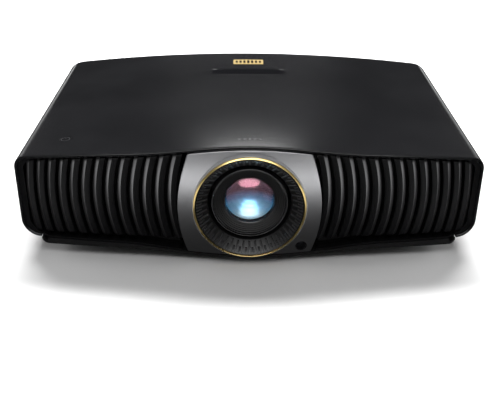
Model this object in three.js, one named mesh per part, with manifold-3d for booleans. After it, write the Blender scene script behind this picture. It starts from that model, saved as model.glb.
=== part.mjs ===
// Home projector: a wide, low casing with louvred front wings and a recessed, motor-driven lens.
// Millimetres, +Z up, front towards -Y. Origin: floor level, middle of the overall box.
import * as THREE from 'three';
import { mergeVertices } from 'three/addons/utils/BufferGeometryUtils.js';
import Module from 'manifold-3d';

const wasm = await Module();
wasm.setup();

// ---- Driving dimensions -------------------------------------------------
const HALF_W = 246; // half the overall width
const WALL = 3.5; // casing wall
const GAP = 0.4; // between touching pieces

const FRONT_Y = -148; // casing front at its corners
const FRONT_BOW = 18; // how far the whole front bows forward in plan
const NOSE_BOW = 5; // extra bow over the lens
const NOSE_HALF = 127; // half the width of that nose
const REAR_Y = 175;
const REAR_BOW = 3;

const FRONT_TOP_Z = 112.4; // top of the lip at its corners
const REAR_TOP_Z = 104.7;
const FRONT_CROWN = 13.8;
const REAR_CROWN = 13;
const HUMP = 9.3; // extra height over the lens, fading to the rear
const HUMP_FADE = 5; // power of that fading
const TOP_R = 14; // upper long edges
const SIDE_FOOT_R = 20; // lower long edges
const SIDE_BOTTOM_Z = 18; // underside of the cover's lower edges
const REAR_PLAN_R = 10;

const PAN_Z = 10.4; // underside of the base pan at its ends
const PAN_CROWN = 1.06;
const PAN_HUMP = 5.15;
const PAN_FADE = 2;
const PAN_HALF = 225.6;
const PAN_END_R = 7;
const PAN_FLOOR = 2.6;
const PAN_FRONT_BAND = 5; // depth of the pan's raised front edge
const PAN_REAR_BAND = 12;
const SEAM_Z = 18.3; // seam between pan and fascia
const SEAM_CROWN = 3.4;
const SEAM_HUMP = 11;
const SEAM_HALF = 150;

const BLADES = 13; // louvre blades on each side of the lens
const BLADE_X = 86.5; // outboard edge of the innermost blade at mid height
const BLADE_PITCH = 13.35;
const BLADE_CLOSING = 0.0061; // how the pitch tightens outwards
const FRAME_DROP = 0.8; // blade frame below the cover, which falls away rearwards
const BLADE_SHARE = 0.79; // share of the pitch that a blade fills
const BLADE_FRONT = 1; // blade face behind the casing front
const BLADE_DEPTH = 12;
const BLADE_BEVEL = 0.38; // share of the blade's width taken by its outboard bevel
const BLADE_BEVEL_DEPTH = 7.5;
const BLADE_BOW = 7.6;
const BLADE_BOW_REACH = 190; // distance over which that bow fades outwards

const LENS_Z = 67.5; // optical axis above the floor
const PLATE_HALF = 75; // lens plate at mid height
const PLATE_WAIST = 8;
const PLATE_SAG = 6; // how far the plate bulges forward of the lip
const RING_R = 58.9;
const RING_BAND = 2.2;
const RING_FRONT_Y = -178;
const FUNNEL_IN_R = 44;
const LENS_FRONT_Y = -165;
const LENS_R = 40;
const GLASS_R = 26.3;

const PANEL_Y = 171; // outer face of the rear panel
const PANEL_T = 3;
const FAN = 92;
const FAN_T = 25;
const FAN_X = 172;
const FAN_Y = -100;
const FAN_Z = 62;
const FOOT_X = 190;
const FOOT_FRONT_Y = -112;
const FOOT_REAR_Y = 138;
const FOOT_R = 14;
const BOSS_X = 130; // ceiling-mount bosses
const BOSS_FRONT_Y = -60;
const BOSS_REAR_Y = 85;
const BOSS_FACE_Z = 8.2;

// ---- Finishes ------------------------------------------------------------
const finish = (color, roughness, metalness = 0) =>
  new THREE.MeshStandardMaterial({ color, roughness, metalness });
const BLACK_SATIN = finish(0x1b1c1e, 0.45);
const BLACK_GLOSS = finish(0x08090a, 0.12);
const BLACK_MATT = finish(0x101012, 0.7);
const GUNMETAL = finish(0x5b5d61, 0.35, 0.8);
const GOLD = finish(0xb89540, 0.25, 1);
const GLASS = finish(0x20406a, 0.03);
const ALLOY = finish(0xa8abb0, 0.35, 1);
const STEEL = finish(0x8c8f94, 0.4, 1);
const BOARD = finish(0x1d4a2c, 0.5);
const RUBBER = finish(0x141414, 0.9);
const GREY = finish(0x3a3b3e, 0.5);
const PHOSPHOR = finish(0xd9c33a, 0.6);

// ---- Solids ---------------------------------------------------------------
function signedVolume(positions, index) {
  const [a, b, c] = [new THREE.Vector3(), new THREE.Vector3(), new THREE.Vector3()];
  let volume = 0;
  for (let i = 0; i < index.length; i += 3) {
    a.fromArray(positions, index[i] * 3);
    b.fromArray(positions, index[i + 1] * 3);
    c.fromArray(positions, index[i + 2] * 3);
    volume += a.dot(b.cross(c));
  }
  return volume;
}

// A geometry with shared corners merged and its faces turned outwards.
function closed(geometry) {
  const bare = geometry.clone();
  bare.deleteAttribute('normal');
  bare.deleteAttribute('uv');
  const merged = mergeVertices(bare, 1e-4);
  const index = Array.from(merged.index.array);
  const kept = [];
  for (let i = 0; i < index.length; i += 3) {
    const [p, q, r] = index.slice(i, i + 3);
    if (p !== q && q !== r && p !== r) kept.push(p, q, r);
  }
  if (signedVolume(merged.attributes.position.array, kept) < 0) kept.reverse();
  merged.setIndex(kept);
  return merged;
}

function toManifold(geometry) {
  const merged = closed(geometry);
  return new wasm.Manifold(new wasm.Mesh({
    numProp: 3,
    vertProperties: Float32Array.from(merged.attributes.position.array),
    triVerts: Uint32Array.from(merged.index.array),
  }));
}

function fromManifold(manifold) {
  const mesh = manifold.getMesh();
  const geometry = new THREE.BufferGeometry();
  geometry.setAttribute('position', new THREE.BufferAttribute(mesh.vertProperties, 3));
  geometry.setIndex(Array.from(mesh.triVerts));
  return geometry;
}

const join = (...parts) => fromManifold(parts.map(toManifold).reduce((all, part) => all.add(part)));
const cut = (body, ...tools) =>
  fromManifold(tools.map(toManifold).reduce((left, tool) => left.subtract(tool), toManifold(body)));

// A closed solid between two sheets of points: near[i][j] and far[i][j].
function between(near, far) {
  const rows = near.length;
  const columns = near[0].length;
  const sheet = rows * columns;
  const positions = [...near.flat(2), ...far.flat(2)];
  const index = [];
  const quad = (a, b, c, d) => index.push(a, b, c, a, c, d);
  for (let i = 0; i < rows - 1; i += 1) {
    for (let j = 0; j < columns - 1; j += 1) {
      const at = i * columns + j;
      quad(at, at + columns, at + columns + 1, at + 1);
      quad(sheet + at, sheet + at + 1, sheet + at + columns + 1, sheet + at + columns);
    }
  }
  const rim = [];
  for (let j = 0; j < columns - 1; j += 1) rim.push(j);
  for (let i = 0; i < rows - 1; i += 1) rim.push(i * columns + columns - 1);
  for (let j = columns - 1; j > 0; j -= 1) rim.push((rows - 1) * columns + j);
  for (let i = rows - 1; i > 0; i -= 1) rim.push(i * columns);
  rim.forEach((from, k) => {
    const to = rim[(k + 1) % rim.length];
    quad(from, to, sheet + to, sheet + from);
  });
  const geometry = new THREE.BufferGeometry();
  geometry.setAttribute('position', new THREE.Float32BufferAttribute(positions, 3));
  geometry.setIndex(index);
  return closed(geometry);
}

function box(x0, x1, y0, y1, z0, z1) {
  const geometry = new THREE.BoxGeometry(x1 - x0, y1 - y0, z1 - z0);
  return geometry.translate((x0 + x1) / 2, (y0 + y1) / 2, (z0 + z1) / 2);
}

// Turned about the Y axis from [radius, y] pairs that close on themselves or on the axis.
function turnedY(profile, segments = 28) {
  const points = profile.map(([r, y]) => new THREE.Vector2(r, y));
  return closed(new THREE.LatheGeometry(points, segments));
}
const turnedZ = (profile, segments) => turnedY(profile, segments).rotateX(Math.PI / 2);
const loop = (profile) => [...profile, profile[0]];

function rod(axis, r, from, to, segments = 18) {
  const geometry = new THREE.CylinderGeometry(r, r, to - from, segments);
  geometry.translate(0, (from + to) / 2, 0);
  if (axis === 'z') geometry.rotateX(Math.PI / 2);
  if (axis === 'x') geometry.rotateZ(-Math.PI / 2);
  return geometry;
}

// An outline in X and Z, extruded along +Y from y0 to y1.
function prismY(outline, y0, y1) {
  const shape = new THREE.Shape(outline.map(([x, z]) => new THREE.Vector2(x, z)));
  const geometry = new THREE.ExtrudeGeometry(shape, { depth: y1 - y0, bevelEnabled: false });
  return geometry.rotateX(Math.PI / 2).translate(0, y1, 0);
}

function roundedRect(halfX, halfZ, r, steps = 3) {
  const corners = [[1, 1], [-1, 1], [-1, -1], [1, -1]];
  return corners.flatMap(([sx, sz], quarter) => Array.from({ length: steps + 1 }, (_, i) => {
    const angle = (quarter + i / steps) * Math.PI / 2;
    return [sx * (halfX - r) + r * Math.cos(angle), sz * (halfZ - r) + r * Math.sin(angle)];
  }));
}

// ---- Casing surfaces ---------------------------------------------------------
const mix = (a, b, t) => a + (b - a) * t;
const steps = (from, to, count) => Array.from({ length: count + 1 }, (_, i) => mix(from, to, i / count));
const crown = (x) => 1 - (x / HALF_W) ** 2;
const swell = (x, half) => (Math.abs(x) < half ? 0.5 * (1 + Math.cos((Math.PI * x) / half)) : 0);
const frontY = (x) => FRONT_Y - FRONT_BOW * crown(x) - NOSE_BOW * swell(x, NOSE_HALF);
const rearY = (x) => REAR_Y + REAR_BOW * crown(x);
const depthY = (x, t) => mix(frontY(x), rearY(x), t);
const share = (x, y) => (y - frontY(x)) / (rearY(x) - frontY(x));
const topAt = (x, t) => mix(FRONT_TOP_Z, REAR_TOP_Z, t)
  + mix(FRONT_CROWN, REAR_CROWN, t) * crown(x)
  + HUMP * swell(x, NOSE_HALF) * (1 - t) ** HUMP_FADE;
const topZ = (x, y) => topAt(x, share(x, y));
const panAt = (x, t) =>
  PAN_Z - PAN_CROWN * crown(x) - PAN_HUMP * swell(x, NOSE_HALF) * (1 - t) ** PAN_FADE;
const seamZ = (x) =>
  Math.max(SEAM_Z - SEAM_CROWN * crown(x) - SEAM_HUMP * swell(x, SEAM_HALF), panAt(x, 0) + PAN_FLOOR);

// Half of the cover's section at depth share t, from the top middle to its lower edge.
function halfSection(t) {
  const tilt = Math.atan((2 * mix(FRONT_CROWN, REAR_CROWN, t)) / HALF_W);
  const cornerX = HALF_W - TOP_R;
  const crownEnd = cornerX + TOP_R * Math.sin(tilt);
  const cornerZ = topAt(crownEnd, t) - TOP_R * Math.cos(tilt);
  const top = steps(0, crownEnd, 9).map((x) => [x, topAt(x, t)]);
  const shoulder = steps(Math.PI / 2 - tilt, 0, 4).slice(1).map((a) => [
    cornerX + TOP_R * Math.cos(a),
    cornerZ + TOP_R * Math.sin(a),
  ]);
  const lower = steps(0, Math.PI / 2, 4).map((a) => [
    HALF_W - SIDE_FOOT_R * (1 - Math.cos(a)),
    SIDE_BOTTOM_Z + SIDE_FOOT_R * (1 - Math.sin(a)),
  ]);
  return [...top, ...shoulder, ...lower];
}

// Moves an open outline inwards by d; the outline runs with its inside on the right.
function inset(outline, d) {
  return outline.map(([x, z], i) => {
    const [ax, az] = outline[Math.max(i - 1, 0)];
    const [bx, bz] = outline[Math.min(i + 1, outline.length - 1)];
    const length = Math.hypot(bx - ax, bz - az);
    return [x + (d * (bz - az)) / length, z - (d * (bx - ax)) / length];
  });
}

function fullSection(t, d = 0) {
  const right = halfSection(t);
  const left = right.slice(1).reverse().map(([x, z]) => [-x, z]);
  return inset([...left, ...right], d);
}

// How far the sides draw in near the rear, to round the plan corners.
function rearDraw(t) {
  const left = Math.min((1 - t) * (REAR_Y - FRONT_Y), REAR_PLAN_R);
  return REAR_PLAN_R - Math.sqrt(REAR_PLAN_R ** 2 - (REAR_PLAN_R - left) ** 2);
}

function sectionRow(t, d) {
  const scale = 1 - rearDraw(t) / HALF_W;
  return fullSection(t, d).map(([x, z]) => [x * scale, depthY(x, t), z]);
}

// A thin solid lying along the top surface: x0..x1, y0..y1, from `above` to `below` it.
function topPatch(x0, x1, y0, y1, above, below) {
  const sheet = (lift) => steps(x0, x1, 4).map((x) =>
    steps(y0, y1, 2).map((y) => [x, y, topZ(x, y) + lift]));
  return between(sheet(above), sheet(-below));
}

// ---- Assembly helpers ----------------------------------------------------------
const projector = new THREE.Group();
function place(name, geometry, material, position = [0, 0, 0], parent = projector) {
  const mesh = new THREE.Mesh(closed(geometry), material.clone());
  mesh.name = name;
  mesh.position.set(...position);
  parent.add(mesh);
  return mesh;
}

// ---- Casing -------------------------------------------------------------------------
const BADGE = { half: 20, y0: 128.5, y1: 147.5 };
const INLAY = { half: 47.5, y0: 85, y1: 108 };
const STATUS = { half: 14, y0: -145.5, y1: -142.5 };
const BUTTON = { x: -197.5, y: -111.6, r: 7 };

function buttonFrame() {
  const slope = Math.atan((topZ(BUTTON.x + 1, BUTTON.y) - topZ(BUTTON.x - 1, BUTTON.y)) / 2);
  const frame = new THREE.Matrix4().makeRotationY(-slope);
  return frame.setPosition(BUTTON.x, BUTTON.y, topZ(BUTTON.x, BUTTON.y));
}

function topCover() {
  const depths = [0, 0.1, 0.25, 0.5, 0.8];
  const rounding = [REAR_PLAN_R, 5, 2, 0].map((d) => 1 - d / (REAR_Y - FRONT_Y));
  const shares = [...depths, ...rounding];
  const shell = between(shares.map((t) => sectionRow(t, 0)), shares.map((t) => sectionRow(t, WALL)));
  const pocket = ({ half, y0, y1 }, below) =>
    topPatch(-half - GAP, half + GAP, y0 - GAP, y1 + GAP, 2, below);
  const buttonHole = rod('z', BUTTON.r + GAP, -6, 3, 24).applyMatrix4(buttonFrame());
  return cut(shell, pocket(BADGE, 1), pocket(INLAY, 1), pocket(STATUS, 6), buttonHole);
}

function bottomCase() {
  const half = [
    ...steps(0, PAN_HALF - PAN_END_R, 10).map((x) => [x, null]),
    ...steps(0, Math.PI / 2, 3).slice(1).map((a) => [
      PAN_HALF - PAN_END_R * (1 - Math.sin(a)),
      SIDE_BOTTOM_Z - 0.6 - PAN_END_R * Math.cos(a),
    ]),
  ];
  const outline = (t) => {
    const right = half.map(([x, z]) => [x, z ?? panAt(x, t)]);
    return [...right.slice(1).reverse().map(([x, z]) => [-x, z]), ...right];
  };
  const frontBand = PAN_FRONT_BAND / (REAR_Y - FRONT_Y);
  const rearBand = 1 - PAN_REAR_BAND / (REAR_Y - FRONT_Y);
  const step = 0.001;
  const shares = [0, frontBand, frontBand + step, 0.3, 0.65, rearBand - step, rearBand, 1];
  const raised = (t) => t <= frontBand || t >= rearBand;
  const drawn = (x, t) => x * (1 - rearDraw(t) / HALF_W);
  const outer = shares.map((t) => outline(t).map(([x, z]) => [drawn(x, t), depthY(x, t), z]));
  const inner = shares.map((t) => inset(outline(t), -PAN_FLOOR).map(([x, z]) => {
    const lift = raised(t) && Math.abs(x) < PAN_HALF - PAN_END_R ? seamZ(x) - GAP : z;
    const height = t > 0.5 && raised(t) ? SIDE_BOTTOM_Z - 1.4 : lift;
    return [drawn(x, t), depthY(x, t), Math.max(z, height)];
  }));
  const pan = between(outer, inner);
  const feet = [-FOOT_X, FOOT_X].flatMap((x) => [FOOT_FRONT_Y, FOOT_REAR_Y].map((y) => [x, y]));
  const bosses = [-BOSS_X, BOSS_X].flatMap((x) => [BOSS_FRONT_Y, BOSS_REAR_Y].map((y) => [x, y]));
  const posts = feet.map(([x, y]) => rod('z', 9, 11.5, 30, 12).translate(x, y, 0));
  const pads = bosses.map(([x, y]) => rod('z', 8, BOSS_FACE_Z, 20, 12).translate(x, y, 0));
  const studHoles = feet.map(([x, y]) => rod('z', 4.5, 5, 35, 12).translate(x, y, 0));
  const screwHoles = bosses.map(([x, y]) => rod('z', 1.7, 5, 18, 8).translate(x, y, 0));
  return cut(join(pan, ...posts, ...pads), ...studHoles, ...screwHoles);
}

// ---- Louvres ----------------------------------------------------------------------------
const bladeX = (k) => BLADE_X + BLADE_PITCH * k - BLADE_CLOSING * k ** 3;
const bladeBow = (x) => BLADE_BOW * (1 - ((x - PLATE_HALF) / BLADE_BOW_REACH) ** 3);

// The frame that holds one wing's blades, drawn for the +X side and closed along the casing opening.
function wingFrame() {
  const inner = inset(halfSection(0), WALL + GAP);
  const from = inner.findIndex(([x]) => x > PLATE_HALF - 2);
  const upper = inner.slice(from).map(([x, z]) => [x, z > LENS_Z ? z - FRAME_DROP : z]);
  const lower = steps(PAN_HALF - PAN_END_R, PLATE_HALF - 3, 8).map((x) => [x, seamZ(x) + 0.2]);
  const path = [...upper, ...lower];
  const thick = inset(path, 3.2);
  const sheet = (line) => line.map(([x, z]) => [5, BLADE_DEPTH + 1].map((d) => [x, frontY(x) + d, z]));
  return between(sheet(path), sheet(thick));
}

function blade(k) {
  const outboard = bladeX(k);
  const pitch = bladeX(k) - (k > 0 ? bladeX(k - 1) : BLADE_X - BLADE_PITCH);
  const width = BLADE_SHARE * pitch;
  const bottom = seamZ(outboard) + 1.6;
  const top = topAt(Math.min(outboard, HALF_W - TOP_R), 0) - WALL - 3;
  const capped = k === BLADES - 1 ? [bottom + 4.5, top - 2.5] : [bottom, top];
  const corners = [
    [0, BLADE_BEVEL_DEPTH],
    [BLADE_BEVEL, BLADE_FRONT],
    [1, BLADE_FRONT + 0.4],
    [1, BLADE_DEPTH],
    [0, BLADE_DEPTH],
  ];
  const rows = steps(-1, 1, 4).map((s) => {
    const x0 = outboard - bladeBow(outboard) * s * s;
    const z = mix(capped[0], capped[1], (s + 1) / 2);
    return corners.map(([u, depth]) => {
      const x = x0 - u * width;
      return [x, frontY(x) + depth, z];
    });
  });
  const positions = rows.flat(2);
  const count = corners.length;
  const index = [];
  for (let i = 0; i < rows.length - 1; i += 1) {
    for (let j = 0; j < count; j += 1) {
      const [a, b] = [i * count + j, i * count + ((j + 1) % count)];
      index.push(a, b, b + count, a, b + count, a + count);
    }
  }
  const last = (rows.length - 1) * count;
  for (let j = 1; j < count - 1; j += 1) index.push(0, j + 1, j, last, last + j, last + j + 1);
  const geometry = new THREE.BufferGeometry();
  geometry.setAttribute('position', new THREE.Float32BufferAttribute(positions, 3));
  geometry.setIndex(index);
  return closed(geometry);
}

function wing(side) {
  const blades = Array.from({ length: BLADES }, (_, k) => blade(k));
  const right = join(wingFrame(), ...blades);
  return side < 0 ? closed(right.scale(-1, 1, 1)) : right;
}

// ---- Lens plate and lens opening -----------------------------------------------------------
const IR = { x: 55.3, z: 19, r: 6.2, y: -168 };
const plateHalf = (z) => PLATE_HALF - PLATE_WAIST * ((z - LENS_Z) / 57) ** 2;
const plateY = (x, z) => frontY(x) + 1 - (PLATE_SAG + 1) * Math.max(0, 1 - ((z - LENS_Z) / 62) ** 2);

function lensPlate() {
  const sheet = (back) => steps(-1, 1, 14).map((u) => steps(0, 1, 8).map((v) => {
    const nominal = mix(seamZ(0), topAt(0, 0), v);
    const x = u * plateHalf(nominal);
    const z = mix(seamZ(x) + 0.5, topAt(x, 0) - WALL - 2.6, v);
    return [x, plateY(x, z) + back, z];
  }));
  const opening = rod('y', RING_R + GAP, -30, 30, 36).translate(0, RING_FRONT_Y, LENS_Z);
  const window = rod('y', IR.r + GAP, -30, 30, 18).translate(IR.x, IR.y, IR.z);
  return cut(between(sheet(0), sheet(WALL)), opening, window);
}

const ringBand = () => turnedY(loop([
  [RING_R - RING_BAND, 0.6],
  [RING_R - RING_BAND * 0.6, 0],
  [RING_R - 0.4, 0.2],
  [RING_R, 1],
  [RING_R, 8],
  [RING_R - RING_BAND, 8],
]), 36);

const funnel = () => turnedY(loop([
  [FUNNEL_IN_R, 13],
  [RING_R - RING_BAND - GAP, 2.6],
  [RING_R - RING_BAND - GAP, 5.4],
  [FUNNEL_IN_R + 1.4, 15],
  [FUNNEL_IN_R + 1.4, 28],
  [FUNNEL_IN_R, 28],
]), 36);

// ---- Projection lens, drawn along its own axis with y in casing coordinates --------------------
const lensBarrel = () => turnedY(loop([
  [LENS_R, LENS_FRONT_Y],
  [LENS_R, -112],
  [36, -108],
  [36, -32],
  [42, -32],
  [42, -24],
  [31, -24],
  [31, -108],
  [38.8, -112],
  [38.8, LENS_FRONT_Y],
]));

const focusCell = () => turnedY(loop([
  [38.4, LENS_FRONT_Y + 1],
  [38.4, -118],
  [34, -118],
  [34, -146],
  [GLASS_R + GAP, -148],
  [GLASS_R + GAP, LENS_FRONT_Y + 7.5],
  [30, LENS_FRONT_Y + 5.5],
  [36.5, LENS_FRONT_Y + 1.5],
]));

// A lens element: convex front and back faces that meet the axis.
function element(r, frontEdge, frontMiddle, backEdge, backMiddle) {
  const face = (edge, middle) => steps(0, 1, 4).map((u) => [r * u, mix(middle, edge, u * u)]);
  return turnedY([...face(frontEdge, frontMiddle), ...face(backEdge, backMiddle).reverse()], 24);
}

const gearRing = (y0, y1) => turnedY(loop([[44, y0], [44, y1], [36.5, y1], [36.5, y0]]));

const zoomCell = () => turnedY(loop([[30.6, -100], [30.6, -60], [22, -60], [22, -100]]), 24);

function carriage(halfX, halfZ, y0, hole) {
  return cut(prismY(roundedRect(halfX, halfZ, 6), y0, y0 + 6), rod('y', hole, y0 - 1, y0 + 7, 24));
}

const gearMotor = (length) =>
  join(rod('y', 8, -length, 0, 20), rod('y', 2, -length - 6, -length + 1, 10));

// ---- Light engine and electronics ------------------------------------------------------------------
function opticalEngine() {
  const housing = box(-60, 60, 4, 104, -42, 28);
  const flange = box(-66, 66, -6, 4.5, -49, 48);
  return cut(join(housing, flange), rod('y', 26, -7, 34, 24));
}

function finned(halfX, y0, y1, z0, z1, fins) {
  const base = box(-halfX, halfX, y0, y1, z0, z0 + 5);
  const pitch = (2 * halfX - 1.6) / (fins - 1);
  const blades = Array.from({ length: fins }, (_, i) => {
    const x = -halfX + i * pitch;
    return box(x, x + 1.6, y0, y1, z0 + 4, z1);
  });
  return join(base, ...blades);
}

function fanFrame() {
  const half = FAN / 2;
  const body = prismY(roundedRect(half, half, 5), 0, FAN_T);
  const bore = rod('y', half - 3.5, -1, FAN_T - 3, 24);
  const spokes = [0, 1, 2, 3].map((q) => {
    const spoke = box(-3, 3, FAN_T - 4, FAN_T - 1, 14, half);
    return spoke.rotateY((q * Math.PI) / 2 + Math.PI / 4);
  });
  const through = rod('y', half - 3.5, FAN_T - 4, FAN_T + 1, 24);
  const hub = rod('y', 17, FAN_T - 4, FAN_T - 1, 16);
  return join(cut(body, bore, through), hub, ...spokes);
}

function fanRotor() {
  const hub = rod('y', 16, 3, 20, 16);
  const vanes = Array.from({ length: 7 }, (_, i) => {
    const vane = box(-0.8, 0.8, -8.5, 8.5, 14, FAN / 2 - 5.5);
    return vane.rotateZ(0.6).translate(0, 11.5, 0).rotateY((i * Math.PI * 2) / 7);
  });
  return join(hub, ...vanes);
}

function wheelDisc() {
  const disc = rod('x', 26, 0, 1.6, 24);
  return join(disc, rod('x', 9, -1.2, 2.8, 12));
}

function powerSupply() {
  const board = box(-62, 62, 40, 138, 31, 33);
  const blocks = [
    box(-55, -15, 50, 90, 32.5, 67),
    box(-5, 30, 60, 110, 32.5, 71),
    box(38, 56, 48, 130, 32.5, 75),
    box(-50, -20, 100, 130, 32.5, 53),
  ];
  return join(board, ...blocks);
}

function mainBoard() {
  const board = box(-72, 72, -30, 138, 40, 41.8);
  const chips = [
    box(-20, 12, 20, 52, 41.4, 52),
    box(28, 50, 10, 24, 41.4, 45),
    box(-60, -40, 60, 90, 41.4, 47),
    box(20, 64, 84, 92, 41.4, 49),
  ];
  return join(board, ...chips);
}

// ---- Rear connectors -----------------------------------------------------------------------------------
const SOCKETS = [
  { name: 'hdmi_socket_1', x: -52, z: 58, half: [9.5, 5.2], well: [7.3, 2.8], deep: 12, r: 1, look: STEEL },
  { name: 'hdmi_socket_2', x: -22, z: 58, half: [9.5, 5.2], well: [7.3, 2.8], deep: 12, r: 1, look: STEEL },
  { name: 'usb_socket', x: 8, z: 58, half: [8.4, 4.8], well: [6.3, 2.8], deep: 12, r: 0.6, look: STEEL },
  { name: 'lan_socket', x: 38, z: 60, half: [8.4, 7.4], well: [6.2, 4.8], deep: 13, r: 0.8, look: STEEL },
  { name: 'serial_socket', x: 76, z: 60, half: [16, 7], well: [9, 4], deep: 6, r: 1.5, look: STEEL },
  { name: 'ac_inlet', x: 188, z: 42, half: [16, 13], well: [12, 8.5], deep: 15, r: 2, look: BLACK_MATT },
];

function socket({ half, well, deep, r }) {
  const body = prismY(roundedRect(...half, r), PANEL_Y - 22, PANEL_Y + 0.8);
  return cut(body, prismY(roundedRect(...well, r), PANEL_Y + 0.8 - deep, PANEL_Y + 3));
}

const KEYS = [
  { name: 'key_ok', x: -150, z: 60, half: 6 },
  { name: 'key_up', x: -150, z: 75, half: 5 },
  { name: 'key_down', x: -150, z: 45, half: 5 },
  { name: 'key_left', x: -165, z: 60, half: 5 },
  { name: 'key_right', x: -135, z: 60, half: 5 },
];

function pressKey({ half }) {
  const inside = PANEL_Y - PANEL_T;
  const cap = prismY(roundedRect(half, half, 2), inside - 1, PANEL_Y + 1.6);
  const stop = prismY(roundedRect(half + 1.2, half + 1.2, 2), inside - 2.5, inside - 0.5);
  return join(cap, stop);
}

const REAR_EYE = { x: -95, z: 84 };

function rearPanel() {
  const t = share(HALF_W, PANEL_Y);
  const scale = 1 - (rearDraw(t) + 0.6) / HALF_W;
  const outline = fullSection(t, WALL + GAP).map(([x, z]) => [x * scale, z]);
  const plate = prismY(outline, PANEL_Y - PANEL_T, PANEL_Y);
  const through = ({ x, z }, [halfX, halfZ], r) =>
    prismY(roundedRect(halfX + GAP, halfZ + GAP, r), PANEL_Y - 10, PANEL_Y + 5).translate(x, 0, z);
  const sockets = SOCKETS.map((s) => through(s, s.half, s.r));
  const keys = KEYS.map((k) => through(k, [k.half, k.half], 2));
  const eye = rod('y', 6 + GAP, PANEL_Y - 10, PANEL_Y + 5, 24).translate(REAR_EYE.x, 0, REAR_EYE.z);
  return cut(plate, ...sockets, ...keys, eye);
}

// ---- Feet -----------------------------------------------------------------------------------------------
const footKnob = () => turnedZ([
  [0, 0],
  [FOOT_R - 1.5, 0],
  [FOOT_R, 1.5],
  [FOOT_R, 3],
  [FOOT_R - 1.5, 3.5],
  [FOOT_R - 1.5, 7],
  [0, 7],
], 20);
const footStud = () => turnedZ([[0, 7.4], [4, 7.4], [4, 30], [0, 30]], 12);

// ---- Assembly -----------------------------------------------------------------------------------------------
place('top_cover', topCover(), BLACK_SATIN);
place('bottom_case', bottomCase(), BLACK_MATT);
place('left_grille', wing(-1), BLACK_SATIN);
place('right_grille', wing(1), BLACK_SATIN);
place('lens_plate', lensPlate(), GUNMETAL);
place('front_ir_window', rod('y', IR.r, 0, 7, 18), BLACK_GLOSS, [IR.x, plateY(IR.x, IR.z) - 0.4, IR.z]);
place('badge_plate', topPatch(-BADGE.half, BADGE.half, BADGE.y0, BADGE.y1, 0, 0.6), GOLD);
place('top_inlay', topPatch(-INLAY.half, INLAY.half, INLAY.y0, INLAY.y1, 0, 0.6), BLACK_GLOSS);
place('status_window', topPatch(-STATUS.half, STATUS.half, STATUS.y0, STATUS.y1, 0, 5), GREY);

const powerButton = place('power_button', turnedZ([
  [0, 0], [6.4, 0], [BUTTON.r, -0.5], [BUTTON.r, -4.5], [9, -4.5], [9, -6.2], [0, -6.2],
], 20), BLACK_SATIN);
powerButton.applyMatrix4(buttonFrame());

const lensOpening = new THREE.Group();
lensOpening.position.set(0, RING_FRONT_Y, LENS_Z);
projector.add(lensOpening);
place('lens_ring', ringBand(), GOLD, [0, 0, 0], lensOpening);
place('lens_funnel', funnel(), BLACK_MATT, [0, 0, 0], lensOpening);

const lens = new THREE.Group();
lens.position.set(0, 0, LENS_Z);
projector.add(lens);
const inLens = (name, geometry, look, position) => place(name, geometry, look, position, lens);
inLens('optical_engine', opticalEngine(), GREY);
inLens('shift_frame_vertical', carriage(58, 42, -14, 30), ALLOY);
inLens('shift_frame_horizontal', carriage(52, 38, -22, 32), ALLOY);
inLens('lens_barrel', lensBarrel(), BLACK_MATT);
inLens('focus_ring', gearRing(-92, -78), GREY);
inLens('zoom_ring', gearRing(-60, -46), GREY);
inLens('focus_cell', focusCell(), BLACK_SATIN);
inLens('front_glass', element(GLASS_R, -156.5, -160.5, -150, -148), GLASS);
inLens('zoom_cell', zoomCell(), ALLOY);
inLens('zoom_glass', element(21.6, -84, -87, -78, -75), GLASS);
inLens('focus_motor', gearMotor(46), STEEL, [39, -22.4, 36]);
inLens('zoom_motor', gearMotor(18), STEEL, [-39, -22.4, 36]);
place('shift_motor_vertical', rod('z', 9, -18, 18), STEEL, [-76.5, -2, 50]);
place('shift_motor_horizontal', rod('x', 9, -18, 18), STEEL, [88, -2, 98]);

place('mirror_chip_board', box(-38, 38, 0, 2, -30, 30), BOARD, [0, 105, 62]);
place('mirror_chip_heatsink', finned(30, 0, 32, -24, 24, 9), ALLOY, [0, 109, 60]);
place('laser_module', box(-32, 32, -30, 30, -28, 28), ALLOY, [118, -34, 52]);
place('laser_heatsink', finned(32, -42, 42, -32, 36, 12), ALLOY, [192, -28, 54]);
place('phosphor_wheel', wheelDisc(), PHOSPHOR, [69, -34, 62]);
place('phosphor_motor', rod('x', 8, 0, 11), STEEL, [73, -34, 62]);

for (const [name, x] of [['intake_fan', FAN_X], ['exhaust_fan', -FAN_X]]) {
  const fan = new THREE.Group();
  fan.position.set(x, FAN_Y, FAN_Z);
  projector.add(fan);
  place(`${name}_frame`, fanFrame(), BLACK_MATT, [0, 0, 0], fan);
  place(`${name}_rotor`, fanRotor(), GREY, [0, 0, 0], fan);
}

place('power_supply', powerSupply(), BOARD, [152, 0, 0]);
place('main_board', mainBoard(), BOARD, [-159, 0, 0]);
place('rear_panel', rearPanel(), BLACK_SATIN);
for (const entry of SOCKETS) place(entry.name, socket(entry), entry.look, [entry.x, 0, entry.z]);
for (const entry of KEYS) place(entry.name, pressKey(entry), RUBBER, [entry.x, 0, entry.z]);
place('rear_ir_window', rod('y', 6, -5, 0.4), BLACK_GLOSS, [REAR_EYE.x, PANEL_Y, REAR_EYE.z]);

for (const [end, y] of [['front', FOOT_FRONT_Y], ['rear', FOOT_REAR_Y]]) {
  for (const [side, x] of [['left', -FOOT_X], ['right', FOOT_X]]) {
    place(`foot_stud_${end}_${side}`, footStud(), STEEL, [x, y, 0]);
    place(`foot_knob_${end}_${side}`, footKnob(), RUBBER, [x, y, 0]);
  }
}

export default projector;
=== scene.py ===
"""Home projector: fine casing, louvres and lens meshes, finishes, floor, lights and camera."""
import math

import bmesh
import bpy
import numpy as np
from mathutils import Matrix, Vector


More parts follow.
